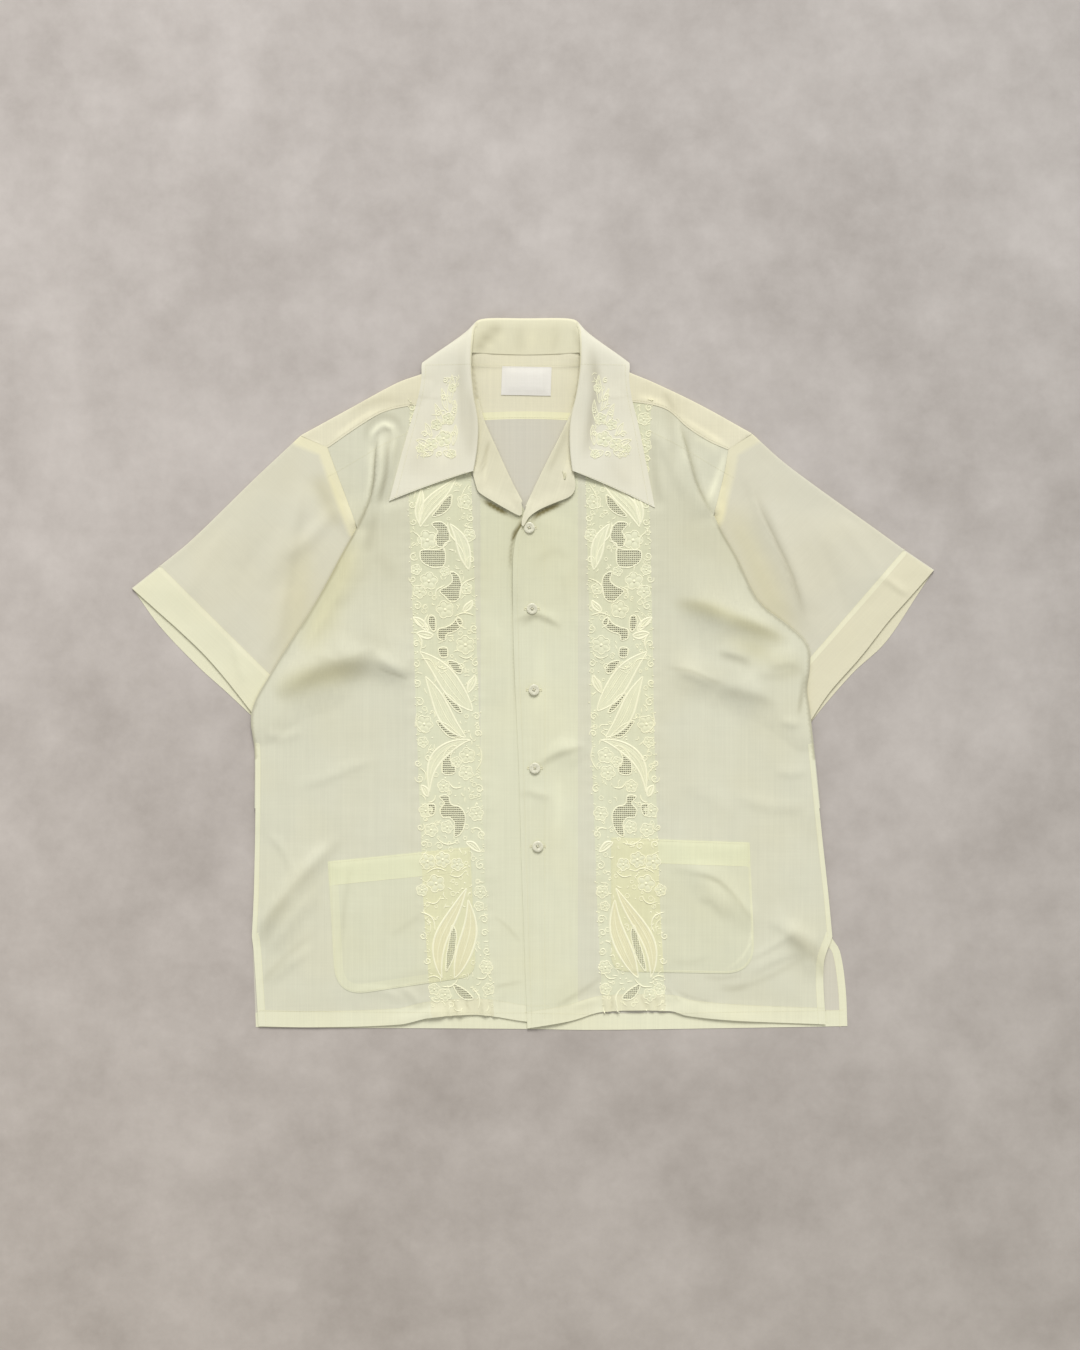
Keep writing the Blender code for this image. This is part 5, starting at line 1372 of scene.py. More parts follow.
def build_front(piece, front, sleeve, facing, pocket, looks):
    """A front and its pocket, cut open under the net. Returns its height, both uncut surfaces and its seams."""
    left = piece == "front_left"
    side = -1 if left else 1
    step = FRONT_STEP
    rim = front_rim(front, facing, side, step)
    height = front_height(piece, front, sleeve, front_rim(front, facing, side, COARSE))
    patch = pocket_outline(pocket, step)
    holes = holes_of(left)
    hem_line = moved(curve(front.hem, 4), side * HEM_DEPTH)
    side_line = moved(curve(front.side, 4) + curve(front.fold, 4)[1:], side * SEAM_BAND)
    side_line = [p for p in side_line if p.y < SEAM_SHOWS]
    vent_line = moved(curve(front.vent, 4), side * VENT_HEM)
    faced_to = FACED_TO - 8 if left else -FACED_TO
    faced = [Vector((faced_to, y)) for y in FACED_ROWS]
    inner, outer, down = pocket_hem_of(pocket)
    pocket_hem = [inner + down + (outer - inner) * k / 40 for k in range(1, 40)]
    turned_in = POCKET_TURNED[piece]
    lines = [([Vector(v) for v in hole], True) for hole in holes] + [(patch, True)]
    lines += runs_inside((hem_line, side_line, vent_line, faced, band_edge(left, -1), band_edge(left, 1),
                          *lap_lines(piece)), rim)
    lines.append((pocket_hem, False))
    lines += runs_inside([pocket_inset(patch, turned_in)], patch)
    shell = fill(rim, step, lines)
    points = lifted(shell, height)
    x, y = centres(points, shell.faces)
    on_ground = np.abs(x - band_middle(y, left)) < BAND_HALF
    hem = line_distance(x, y, curve(front.hem, 8)) < HEM_DEPTH
    sides = (line_distance(x, y, curve(front.side, 8) + curve(front.fold, 8)) < SEAM_BAND) & (y < SEAM_SHOWS)
    vent = line_distance(x, y, curve(front.vent, 8)) < VENT_HEM
    is_faced = (x < faced_to) if left else (x > faced_to)
    slots = np.where(is_faced, 3, 0)
    slots = np.where(on_ground, 2, slots)
    slots = np.where(hem | sides | vent, 1, slots)
    slots = np.where(hem & on_ground, 4, slots)
    cut, cut_pocket = np.zeros(len(x), dtype=bool), np.zeros(len(x), dtype=bool)
    for hole in holes:
        nets = cut_pocket if inside(*hole.mean(axis=0), patch) else cut
        nets |= inside(x, y, hole)
    made = Builder()
    made.add(points, shell.faces[~cut])
    made.slots = list(slots[~cut])
    turn = curve(front.fold, step)
    lower = fill(side_zone(front, step, step * 2), step * 2)
    low_start = made.add(lifted(lower, lambda a, b: height(a, b) - FOLDED), lower.faces)
    first = nearest_to(turn[0], rim)
    top_edge = [shell.rim[first + i] for i in range(len(turn))]
    low_edge = [low_start + lower.rim[i] for i in range(len(turn))]
    made.roll(top_edge, low_edge, [v * -side for v in sideways(turn)], FOLDED / 2)
    shown = [looks[key] for key in ("linen", "doubled", "ground", "faced", "ground_hem")]
    cover(made.build(piece, shown, tones=front_tone(piece, front)), piece)

    name = piece.replace("front", "pocket")
    sewn = build_pocket(name, pocket, patch, turned_in, (points, shell.faces), cut_pocket, looks)
    seams = {"hem": hem_line, "side": side_line, "vent": vent_line, "pocket_hem": pocket_hem,
             "pocket": pocket_inset(patch, 1.6), "edge": moved(curve(front.edge, 4), side * 5)}
    return height, [(points, shell.faces), sewn], seams


def pocket_hem_of(pocket):
    """Both ends of a pocket's open top, and the way down to its hem line."""
    inner, outer = Vector(pocket.top_inner), Vector(pocket.top_outer)
    return inner, outer, (Vector(pocket.low_inner) - inner).normalized() * POCKET_HEM


def build_pocket(name, pocket, patch, turned_in, surface, under_net, looks):
    """A pocket over its front's own triangles, cut open under the net. Returns its uncut surface."""
    points, faces = surface
    inner, outer, down = pocket_hem_of(pocket)
    x, y = centres(points, faces)
    on_ground = np.abs(x - band_middle(y, name == "pocket_left")) < BAND_HALF
    distance = line_distance(points[:, 0], points[:, 1], patch, True)
    top_line = curve((inner, outer), 10)
    open_edge = np.exp(-(line_distance(points[:, 0], points[:, 1], top_line) / 14)**2)
    pouch = POCKET_STANDS + 0.5 * smooth(distance / 16) + 0.5 * open_edge * smooth(distance / 6)
    raised = points.copy()
    raised[:, 2] += pouch
    band = line_distance(x, y, pocket_edge(patch, inner, outer)) < turned_in
    near_top = inside(x, y, [inner, outer, outer + down, inner + down])
    slots = np.where(on_ground, 2, 0)
    slots = np.where(band, 3, slots)
    slots = np.where(near_top, 1, slots)
    slots = np.where((near_top | band) & on_ground, 2, slots)
    in_pocket = inside(x, y, patch)
    keep = in_pocket & ~under_net
    used, place = renumbered(faces[in_pocket], len(points))
    made = Builder()
    made.add(raised[used], place[faces[keep]])
    made.slots = list(slots[keep])
    shown = [looks[key] for key in ("pocket", "pocket_hem", "pocket_ground", "pocket_edge")]
    cover(made.build(name, shown, tones=plain_tone(name)), name)
    return raised[used], place[faces[in_pocket]]


def pocket_edge(patch, inner, outer):
    """A pocket's outline without its open top."""
    return [p for p in patch if to_segment(p.x, p.y, *inner, *outer)[0] > 0.5]


def pocket_inset(patch, distance):
    """A closed outline moved inwards."""
    n = len(patch)
    area = sum(patch[i - 1].x * patch[i].y - patch[i].x * patch[i - 1].y for i in range(n))
    sign = 1 if area > 0 else -1
    made = []
    for i in range(n):
        along = (patch[(i + 1) % n] - patch[i - 1]).normalized()
        made.append(patch[i] + Vector((-along.y, along.x)) * distance * sign)
    return made


FACING_STEP = 2.0
TURNED = 1.1
LOOSE_EDGE = 1.7
LOOSE_REACH = 9


def build_facing(piece, facing, height, looks):
    """A facing where it shows, carried over the lapel's fold."""
    step = FACING_STEP
    turn, free = curve(facing.roll, step), curve(facing.free, step)
    shell = fill(path(step, *facing), step)

    def turned(x, y):
        loose = LOOSE_EDGE * np.exp(-(line_distance(x, y, free) / LOOSE_REACH)**2)
        return height(x, y) + TURNED + loose + rumple(x, y, 17, 0.4, 4.4)

    points = lifted(shell, turned)
    made = Builder()
    made.add(points, shell.faces)
    edge = shell.rim[:len(turn)]
    outward = [v * (-1 if piece == "facing_left" else 1) for v in sideways(turn)]
    below = points[edge] - np.array([0, 0, TURNED])
    start = made.add(below, [])
    made.roll(edge, list(range(start, start + len(turn))), outward, FOLDED / 2)
    cover(made.build(piece, [looks["facing"]], tones=plain_tone(piece)), piece)
    return points, shell.faces


SLEEVE_SEAM_BAND = 11.0
SEAM_PALE = {"sleeve_right": 0.66, "sleeve_left": 0.5}
CUFF_TURN = 5.0
SEAM_FADE = 2.5
CREVICE_ROWS = (0.3, 2.4)
HEM_GROOVE = 0.2
HEM_GROOVE_WIDTH = 1.4
HIDDEN_COARSER = 1.6


def build_sleeve(piece, sleeve, front, front_level, looks):
    """A sleeve's two layers, rolled over at its top and under the arm. Returns its surface and its hem line."""
    step = SLEEVE_STEP
    side = -1 if piece == "sleeve_left" else 1
    top, underarm = curve(sleeve.top, step), curve(sleeve.underarm, step)
    strap_end = (front.armhole[-1], sleeve.top[0])
    edges = (sleeve.top, sleeve.cuff_front, sleeve.underarm, front.hidden_armhole, front.armhole, strap_end)
    front_layer_rim, coarse = path(step, *edges), path(COARSE, *edges)
    back_rim = path(step, sleeve.top, sleeve.cuff_back, sleeve.underarm, sleeve.back_armhole, sleeve.yoke_armhole)
    under_front = sleeve_zone(front, sleeve)
    armhole, tucked = curve(front.armhole, 10), side_zone(front)
    hem = curve(sleeve.cuff_line, 4)
    seam = curve(front.armhole, 4) + curve(strap_end, 4)[1:]
    seam_rows = [moved(seam, -side * (SLEEVE_SEAM_BAND + reach)) for reach in (-SEAM_FADE, 0.0, SEAM_FADE)]

    def front_layer(x, y):
        free = 1 - near(x, y, under_front, LIFT_FADE / 2)
        distance = line_distance(x, y, coarse, True)
        air = SWELL * smooth(distance / SWELL_REACH)
        rise = smooth(distance / 12) * (ridges(piece, x, y) + creases(piece, x, y) + laps(piece, x, y)
                                        + rumple(x, y, 40, 0.6, 5.2)) + rumple(x, y, 12, 0.12, 6.1)
        groove = -HEM_GROOVE * np.exp(-(line_distance(x, y, hem) / HEM_GROOVE_WIDTH)**2)
        own = FLOOR_LAYER + FOLDED + np.maximum((air + rise) * free, -0.3) + groove
        joined = smooth(1 - line_distance(x, y, armhole) / 18) * (1 - near(x, y, tucked, 8))
        return own * (1 - joined) + np.maximum(front_level(x, y), own) * joined

    turn_line = moved(hem, side * CUFF_TURN)
    fold = fold_above_cuff(front, sleeve, 3)
    crevice = [moved(fold, -side * reach) for reach in CREVICE_ROWS]
    upper = fill(front_layer_rim, step,
                 runs_inside((hem, turn_line, *seam_rows, *crevice, *lap_lines(piece)), front_layer_rim))
    points = lifted(upper, front_layer)
    a, b = Vector(hem[0]), Vector(hem[-1])

    def past_hem(x, y):
        return ((b.x - a.x) * (y - a.y) - (b.y - a.y) * (x - a.x)) * -side > 0

    x, y = centres(points, upper.faces)
    slots = np.where(past_hem(x, y), 1, 0)
    slots = np.where(past_hem(x, y) & (line_distance(x, y, hem) < CUFF_TURN), 2, slots)
    lower = fill(back_rim, step * HIDDEN_COARSER)
    low_points = lifted(lower, lambda u, v: np.full(np.shape(u), BACK_MIDDLE))
    made = Builder()
    made.add(points, upper.faces)
    start = made.add(low_points, lower.faces)
    made.slots = list(slots) + list(np.where(past_hem(*centres(low_points, lower.faces)), 1, 0))
    for line in (top, underarm):
        up, low = nearest_to(line[0], front_layer_rim), nearest_to(line[0], back_rim)
        made.roll([upper.rim[up + i] for i in range(len(line))], [start + lower.rim[low + i] for i in range(len(line))],
                  [v * side for v in sideways(line)], FOLDED / 2)
    shown = [looks[piece], looks[piece + "_doubled"], looks["cuff_turn"]]
    cover(made.build(piece, shown, tones=sleeve_tone(piece, front, sleeve)), piece)
    return (points, upper.faces), hem


# How dark the painted shade on the back is where it shows through the nets, and from where to where it lies
SHADE_UNDER_NETS = 0.39
NETS_TOP = 270
NETS_LOW = -346


def build_back(looks):
    """The back below its yoke. Returns its surface and its seams."""
    step = BACK_STEP
    left_under = moved(curve(LEFT_SLEEVE.underarm, step), -UNDERARM_GAP)
    right_under = moved(curve(RIGHT_SLEEVE.underarm, step), UNDERARM_GAP)[::-1]
    rim = outline(curve(BACK_HEM, step), curve(BACK_VENT_LEFT, step), curve(BACK_SIDE_LEFT, step), left_under,
                  moved(curve(LEFT_SLEEVE.back_armhole, step), -0.2)[1:-1], curve(BACK_YOKE_SEAM, step)[1:-1],
                  moved(curve(RIGHT_SLEEVE.back_armhole, step), 0.2)[::-1][1:-1], right_under,
                  curve(BACK_SIDE_RIGHT, step))
    hem_line = moved(curve(BACK_HEM, 5), -HEM_DEPTH)
    vent_line = moved(curve(BACK_VENT_LEFT, 5), -VENT_HEM)
    shell = fill(rim, step, runs_inside((hem_line, vent_line), rim))

    def height(x, y):
        return BACK_MIDDLE + np.maximum(rumple(x, y, 30, 0.3, 9.2), 0.0)

    # Painted shade on the back under the nets.
    def shade_under_nets(kind, u, v):
        if kind != "deep":
            return np.zeros(np.shape(u))
        off = np.minimum(np.abs(u - band_middle(v, True)), np.abs(u - band_middle(v, False)))
        return SHADE_UNDER_NETS * smooth((BAND_HALF + 6 - off) / 8) * smooth((NETS_TOP - v) / 20) * smooth((v - NETS_LOW) / 8)

    points = lifted(shell, height)
    x, y = centres(points, shell.faces)
    doubled = (line_distance(x, y, curve(BACK_HEM, 10)) < HEM_DEPTH) \
        | (line_distance(x, y, curve(BACK_VENT_LEFT, 10)) < VENT_HEM)
    made = Builder()
    made.add(points, shell.faces)
    made.slots = list(np.where(doubled, 1, 0))
    cover(made.build("back", [looks["inner"], looks["doubled"]], tones=shade_under_nets), "back")
    return (points, shell.faces), [hem_line, vent_line]


def label_outline(step):
    """The neck label's outline, a little askew."""
    half_x, half_y = LABEL_SIZE[0] / 2, LABEL_SIZE[1] / 2
    corners = [Vector((-half_x, -half_y + 1)), Vector((half_x - 1, -half_y)), Vector((half_x, half_y - 1)),
               Vector((1 - half_x, half_y))]
    middle = Vector(LABEL_CENTRE)
    runs = [curve((middle + corners[i], middle + corners[(i + 1) % 4]), step) for i in range(4)]
    return outline(*runs)


YOKE_BAND = 8.0
SEAM_ROWS = (2.2, 4.4, 6.6)
# The height that the yoke rises to at the stand, by distance from the collar's middle line
NECK_SEAM = ((0, 2.0), (35, 2.5), (50, 4.6), (56, 5.0), (60, 3.4), (66, 2.2))
UNDER_STAND = 3.0
SEAM_STANDS = 0.5
STRAP_OVER = 1.2
YOKE_STITCH = 1.8


def build_yoke(looks):
    """The yoke's lower layer, its two straps and the neck label. Returns their surfaces and seams."""
    step = YOKE_STEP
    right, left = curve(SHOULDER_RIGHT, step), curve(SHOULDER_LEFT, step)

    def low(x, y):
        level = FLOOR_LAYER - 0.2 + neck_rise(x, y) + np.maximum(rumple(x, y, 26, 0.25, 1.3), 0.0)
        half = np.abs(x - collar_side(0, y, True))
        seam = np.interp(half, [row[0] for row in NECK_SEAM], [row[1] for row in NECK_SEAM])
        return level + np.maximum(seam - level, 0.0) * smooth((y - 316) / 20)

    yoke_seams = curve(RIGHT_FRONT.yoke, 12), curve(LEFT_FRONT.yoke, 12)

    def high(x, y):
        from_seam = np.minimum(line_distance(x, y, yoke_seams[0]), line_distance(x, y, yoke_seams[1]))
        free = smooth(from_seam / 14)
        return FRONT_LAYER + neck_rise(x, y) + SEAM_STANDS + free * (0.2 + rumple(x, y, 24, 0.8, 2.6))

    end_right = moved(curve(RIGHT_SLEEVE.yoke_armhole, step), YOKE_END_GAP)
    end_left = moved(curve(LEFT_SLEEVE.yoke_armhole, step), -YOKE_END_GAP)[::-1]
    neck = [Vector((p.x, p.y + UNDER_STAND)) for p in curve(BACK_NECK, step)]
    rim = outline(curve(BACK_YOKE_SEAM, step)[1:-1], end_right[:-1], right, neck[1:-1], left[::-1], end_left[1:])
    label = label_outline(LABEL_STEP)
    allowance = runs_inside([moved(curve(BACK_YOKE_SEAM, 4), YOKE_BAND)], rim)
    lower = fill(rim, step, [(label, True)] + allowance)
    low_points = lifted(lower, low)
    made = Builder()
    made.add(low_points, lower.faces)
    low_x, low_y = centres(low_points, lower.faces)
    made.slots = list(np.where(line_distance(low_x, low_y, curve(BACK_YOKE_SEAM, 8)) < YOKE_BAND, 1, 0))
    surfaces = [(low_points, lower.faces)]
    seams = []
    for line, neck, front, side in ((right, STRAP_NECK_RIGHT, RIGHT_FRONT, -1),
                                    (left, STRAP_NECK_LEFT, LEFT_FRONT, 1)):
        seam = moved(curve(front.yoke, step), -side * STRAP_OVER)
        seam[0] = seam[0] + (seam[1] - seam[0]).normalized() * 0.4
        strap = outline(line, curve(neck, step), seam[::-1][1:])
        upper = fill(strap, step, runs_inside([moved(seam, side * width) for width in SEAM_ROWS], strap))
        points = lifted(upper, high)
        start = made.add(points, upper.faces)
        surfaces.append((points, upper.faces))
        seams.append(moved(seam, side * SEAM_ROWS[0]))
        order = [lower.rim[nearest_to(p, rim)] for p in line]
        made.roll([start + upper.rim[i] for i in range(len(line))], order, [v * side for v in sideways(line)],
                  FOLDED / 2)
        made.slots += [0] * (len(made.faces) - len(made.slots))
    cover(made.build("yoke", [looks["yoke"], looks["seam"]], tones=plain_tone("yoke")), "yoke")
    keep = inside(low_x, low_y, label)
    used, place = renumbered(lower.faces[keep], len(low_points))
    raised = low_points[used].copy()
    rise = line_distance(raised[:, 0], raised[:, 1], label, True)
    raised[:, 2] += LABEL_STANDS + 0.9 * smooth(rise / 8)
    tape = Builder()
    tape.add(raised, place[lower.faces[keep]])
    cover(tape.build("neck_label", [looks["label"]]), "neck_label")
    return surfaces, seams + [moved(curve(BACK_YOKE_SEAM, 3), YOKE_STITCH)]


# The collar's thickness, how its fall settles and how it is divided
COLLAR_THIN = 0.8
COLLAR_SETTLES = 3.2
SETTLED_TO = 4.7
STATION_PARTS = 14
STAND_ROWS = 9
CREST_PARTS = 8
FALL_PARTS = 26
LAID_AIR = 0.15


def collar_section(station, left):
    """A line across the collar: up its stand, round its crest and down its fall."""
    drop = station.left_drop if left else 0.0
    outward = Vector((1 if left else -1, 0, 0))

    def place(x, y, z):
        return Vector((collar_side(x, y, left), y, z))

    seam = place(station.seam_x, station.seam_y, station.seam_z)
    crest = place(station.crest_x, station.crest_y, station.crest_z)
    belly = place(station.belly_x, station.belly_y - drop / 2, station.belly_z)
    edge = place(station.edge_x, station.edge_y - drop, station.edge_z)
    turn = math.radians(station.turn)
    away = crest - belly
    away.z = 0
    away.normalize()
    side = outward * math.sin(turn) + Vector((0, 0, math.cos(turn)))
    side = (side - away * side.dot(away) * 0.5).normalized()
    points = [seam.lerp(crest - side * station.radius, t) for t in (0.0, 0.25, 0.5, 0.75)]
    for k in range(CREST_PARTS + 1):
        angle = math.pi * k / CREST_PARTS
        points.append(crest + away * math.sin(angle) * station.radius - side * math.cos(angle) * station.radius)
    leave = points[-1]
    for k in range(1, FALL_PARTS + 1):
        t = k / FALL_PARTS
        points.append(leave * (1 - t) * (1 - 2 * t) + belly * 4 * t * (1 - t) + edge * t * (2 * t - 1))
    return points


def build_collar(looks, under):
    """The collar, its fall laid on what lies under it. Returns its surface and its rows of points."""
    sections = [collar_section(s, False) for s in COLLAR]
    sections += [collar_section(s, True) for s in COLLAR[-2::-1]]
    rows = []
    for across in zip(*sections):
        line = []
        for i in range(len(across) - 1):
            start, end = across[i], across[i + 1]
            before = across[i - 1] if i else start
            after = across[i + 2] if i + 2 < len(across) else end
            line += [between(start, (end - before) / 2, end, (after - start) / 2, k / STATION_PARTS)
                     for k in range(STATION_PARTS)]
        line.append(across[-1])
        rows.append([(p.x, p.y, max(p.z, COLLAR_CLOTH / 2)) for p in line])
    wide = len(rows[0])
    points = np.array(rows).reshape(-1, 3)
    leaf = np.repeat(np.linspace(0, 1, len(rows)), wide)
    column = np.tile(np.arange(wide), len(rows))
    station = np.minimum(column, wide - 1 - column) / STATION_PARTS
    soft = smooth((leaf - 0.3) * 3.3) * smooth((SETTLED_TO - station) / 1.5)
    points[:, 2] += soft * (rumple(points[:, 0], points[:, 1], 34, 1.0, 8.3) - COLLAR_SETTLES)
    for i in np.flatnonzero(soft > 0.5):
        hit = height_on(under, points[i, 0], points[i, 1])
        if hit is not None:
            points[i, 2] = max(points[i, 2], hit + (COLLAR_THIN + THIN) / 2 + LAID_AIR)
    faces = [(r * wide + c, r * wide + c + 1, (r + 1) * wide + c + 1, (r + 1) * wide + c)
             for r in range(len(rows) - 1) for c in range(wide - 1)]
    made = Builder()
    made.add(points, faces)
    for r in range(len(rows) - 1):
        made.slots += [0 if r >= STAND_ROWS else 1] * (wide - 1)
    cover(made.build("collar", [looks["collar"], looks["stand"]], COLLAR_THIN, tones=plain_tone("collar")),
          "collar")
    return (points, faces), rows


# Small motifs on each collar leaf, by half width from the collar's middle line
COLLAR_LEAVES = [Leaf(*row) for row in (
    (78, 284, 77, 314, 3, -3, 1), (80, 276, 88, 300, 3, -2, 1), (76, 262, 73, 288, 2, -3, 1),
    (84, 262, 94, 284, 4, -2, 1), (74, 240, 72, 262, 2, -3, 1), (96, 250, 104, 264, 3, -2, 1),
    (98, 240, 113, 246, 3, -3, 1), (84, 234, 73, 228, 3, -3, 1), (94, 234, 108, 229, 3, -3, 1),
)]
COLLAR_FLOWERS = [Flower(*row) for row in (
    (84, 247, 8, 5), (80, 268, 6, 5), (97, 241, 6.5, 5), (76, 300, 4, 5), (92, 262, 5.5, 5), (75, 231, 4.5, 5),
    (108, 237, 4.5, 5),
)]
COLLAR_SCROLLS = [Scroll(*row) for row in (
    (85, 290, 3.6, 30, 1), (73, 276, 3.4, 120, -1), (84, 308, 3, 60, 1), (74, 252, 3.4, 200, -1),
    (88, 231, 3.6, 300, 1), (104, 252, 3.6, 0, 1), (90, 274, 3.4, 90, -1), (102, 231, 3, 160, 1),
)]
COLLAR_TENDRILS = 34
TENDRIL_REACH = 2.8
TENDRIL_THREAD = (0.95, 0.4)
COLLAR_EDGE = (1.15, 0.5)
COLLAR_VEIN = (0.7, 0.3)


def embroider_collar(left, tree, looks):
    """The spray on one leaf of the collar."""
    chance = random.Random(5 if left else 9)

    def place(points):
        return np.column_stack([collar_side(points[:, 0], points[:, 1], left), points[:, 1]])

    satin = Threads(tree, COLLAR_THIN / 2)
    for leaf in COLLAR_LEAVES:
        out, back = leaf_edges(leaf)
        for edge in (out, back):
            satin.strip(place(edge), *COLLAR_EDGE, taper=0.5)
        satin.strip(place((out + back) / 2), *COLLAR_VEIN)
    for number, flower in enumerate(COLLAR_FLOWERS):
        rosette(satin, place, *flower, number + 3)
    for scroll in COLLAR_SCROLLS:
        spiral(satin, place, scroll)
    for _ in range(COLLAR_TENDRILS):
        y = chance.uniform(226, 314)
        s, lean = 71 + chance.uniform(0, 1) * (42 - 34 * (y - 226) / 88), chance.uniform(0, 6.28)
        run, rise = TENDRIL_REACH * math.cos(lean), TENDRIL_REACH * math.sin(lean)
        tendril = bowed(s - run, y - rise, s + run, y + rise, chance.choice((-1.7, 1.7)), 0.8)
        satin.strip(place(tendril), *TENDRIL_THREAD, taper=0.5)
    satin.build("collar_embroidery_left" if left else "collar_embroidery_right", looks["satin"], looks["petal"],
                slot="collar_linen")


# A stitch's length, pitch, width and rise
STITCH = 2.1
STITCH_PITCH = 3.0
STITCH_WIDTH = 0.45
STITCH_RISE = 0.22
# A button's holes, its face with the rim and the rounded edge, its wall, and its cross of thread
HOLES_OUT = 1.3
HOLE_RADIUS = 0.62
HOLE_SIDES = 12
BUTTON_SIDES = 48
BUTTON_STEP = 0.7
BUTTON_TOP = 1.5
BUTTON_RIM = 0.34
RIM_FROM = 2.6
RIM_REACH = 1.3
BUTTON_EDGE = 0.4
EDGE_REACH = 0.9
BUTTON_WALL = 1.3
CROSS_POINTS = 9
THREAD_LEVEL = 1.62
THREAD_SUNK = 0.9
# Each button is turned by this many degrees times its number
BUTTON_TURN = 23


def sew(threads, line, pitch=STITCH_PITCH, closed=False):
    """A row of stitches along a line."""
    points = [Vector((p[0], p[1])) for p in line]
    if closed:
        points.append(points[0])
    lengths = lengths_of(points)
    xs, ys = [p.x for p in points], [p.y for p in points]
    for k in range(int(lengths[-1] / pitch)):
        at = np.linspace(k * pitch, k * pitch + STITCH, 3)
        stitch = np.column_stack([np.interp(at, lengths, xs), np.interp(at, lengths, ys)])
        threads.strip(stitch, STITCH_WIDTH, STITCH_RISE, taper=0.7)


def circle(radius, sides, x=0.0, y=0.0):
    """A circle of points."""
    angles = np.linspace(0, 2 * np.pi, sides, False)
    return [Vector((x + radius * math.cos(a), y + radius * math.sin(a))) for a in angles]


def button(number, looks):
    """A four-holed button with a raised rim, sewn down with a cross of thread."""
    low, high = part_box(f"button_{number}")
    x, y = (low[0] + high[0]) / 2 / MM, (low[1] + high[1]) / 2 / MM
    base = low[2] / MM
    radius = BUTTON_DIAMETER / 2
    turn = math.radians(BUTTON_TURN * number)

    def spun(u, v):
        return x + u * math.cos(turn) - v * math.sin(turn), y + u * math.sin(turn) + v * math.cos(turn)

    corners = [math.pi / 4 + k * math.pi / 2 for k in range(4)]
    holes = [circle(HOLE_RADIUS, HOLE_SIDES, HOLES_OUT * math.cos(a), HOLES_OUT * math.sin(a)) for a in corners]
    shell = fill(circle(radius, BUTTON_SIDES), BUTTON_STEP, [(hole, True) for hole in holes])
    r = np.hypot(shell.points[:, 0], shell.points[:, 1])
    top = BUTTON_TOP + BUTTON_RIM * smooth((r - RIM_FROM) / RIM_REACH)
    top = top - BUTTON_EDGE * smooth((r - radius + EDGE_REACH) / EDGE_REACH)**2
    mid_x, mid_y = centres(shell.points, shell.faces)
    keep = np.ones(len(shell.faces), dtype=bool)
    for hole in holes:
        keep &= ~inside(mid_x, mid_y, hole)
    made = Builder()
    made.add(np.column_stack([*spun(shell.points[:, 0], shell.points[:, 1]), base + top]), shell.faces[keep])
    disc = made.build(f"button_{number}_disc", [looks["pearl"]], 0)
    thicken(disc, BUTTON_WALL, -1.0 if disc.data.polygons[0].normal.z > 0 else 1.0)
    cover(disc, f"button_{number}")
    cross = Builder()
    for a, b in ((0, 2), (1, 3)):
        points = []
        nx, ny = -math.sin(corners[a]), math.cos(corners[a])
        for k in range(CROSS_POINTS):
            t = k / (CROSS_POINTS - 1)
            cx = HOLES_OUT * (math.cos(corners[a]) * (1 - t) + math.cos(corners[b]) * t)
            cy = HOLES_OUT * (math.sin(corners[a]) * (1 - t) + math.sin(corners[b]) * t)
            sunk = THREAD_SUNK if k in (0, CROSS_POINTS - 1) else 0
            z = THREAD_LEVEL + 0.35 * math.sin(math.pi * t)**0.4 + 0.12 * a - sunk
            for side, up in ((-0.42, 0), (0, 0.3), (0.42, 0), (0, -0.25)):
                points.append((*spun(cx + nx * side, cy + ny * side), base + z + up))
        cross.add(points, [(k + c, k + (c + 1) % 4, k + 4 + (c + 1) % 4, k + 4 + c)
                           for k in range(0, 4 * CROSS_POINTS - 4, 4) for c in range(4)])
    cross.build(f"button_{number}_thread", [looks["sewing"]], 0)


def colour(red, green, blue):
    """A colour given as it looks on a screen, from 0 to 255, as linear light."""
    made = []
    for c in (red / 255, green / 255, blue / 255):
        made.append(c / 12.92 if c <= 0.04045 else ((c + 0.055) / 1.055)**2.4)
    return (*made, 1.0)


def tinted(value, factor):
    """A colour made lighter or darker."""
    return (*(min(c * factor, 1.0) for c in value[:3]), 1.0)


# Tints that the cloth's colour is multiplied by: a warm drift, a yellower tint, painted highlight with paler doubled
# cloth, and painted shade
WARM = (1.0, 0.988, 0.955, 1.0)
YELLOW = (0.985, 0.96, 0.82, 1.0)
HIGHLIGHT_AND_DOUBLED_TINT = (1.28, 1.28, 1.25, 1.0)
PAINTED_SHADE_TINT = (0.27, 0.235, 0.125, 1.0)


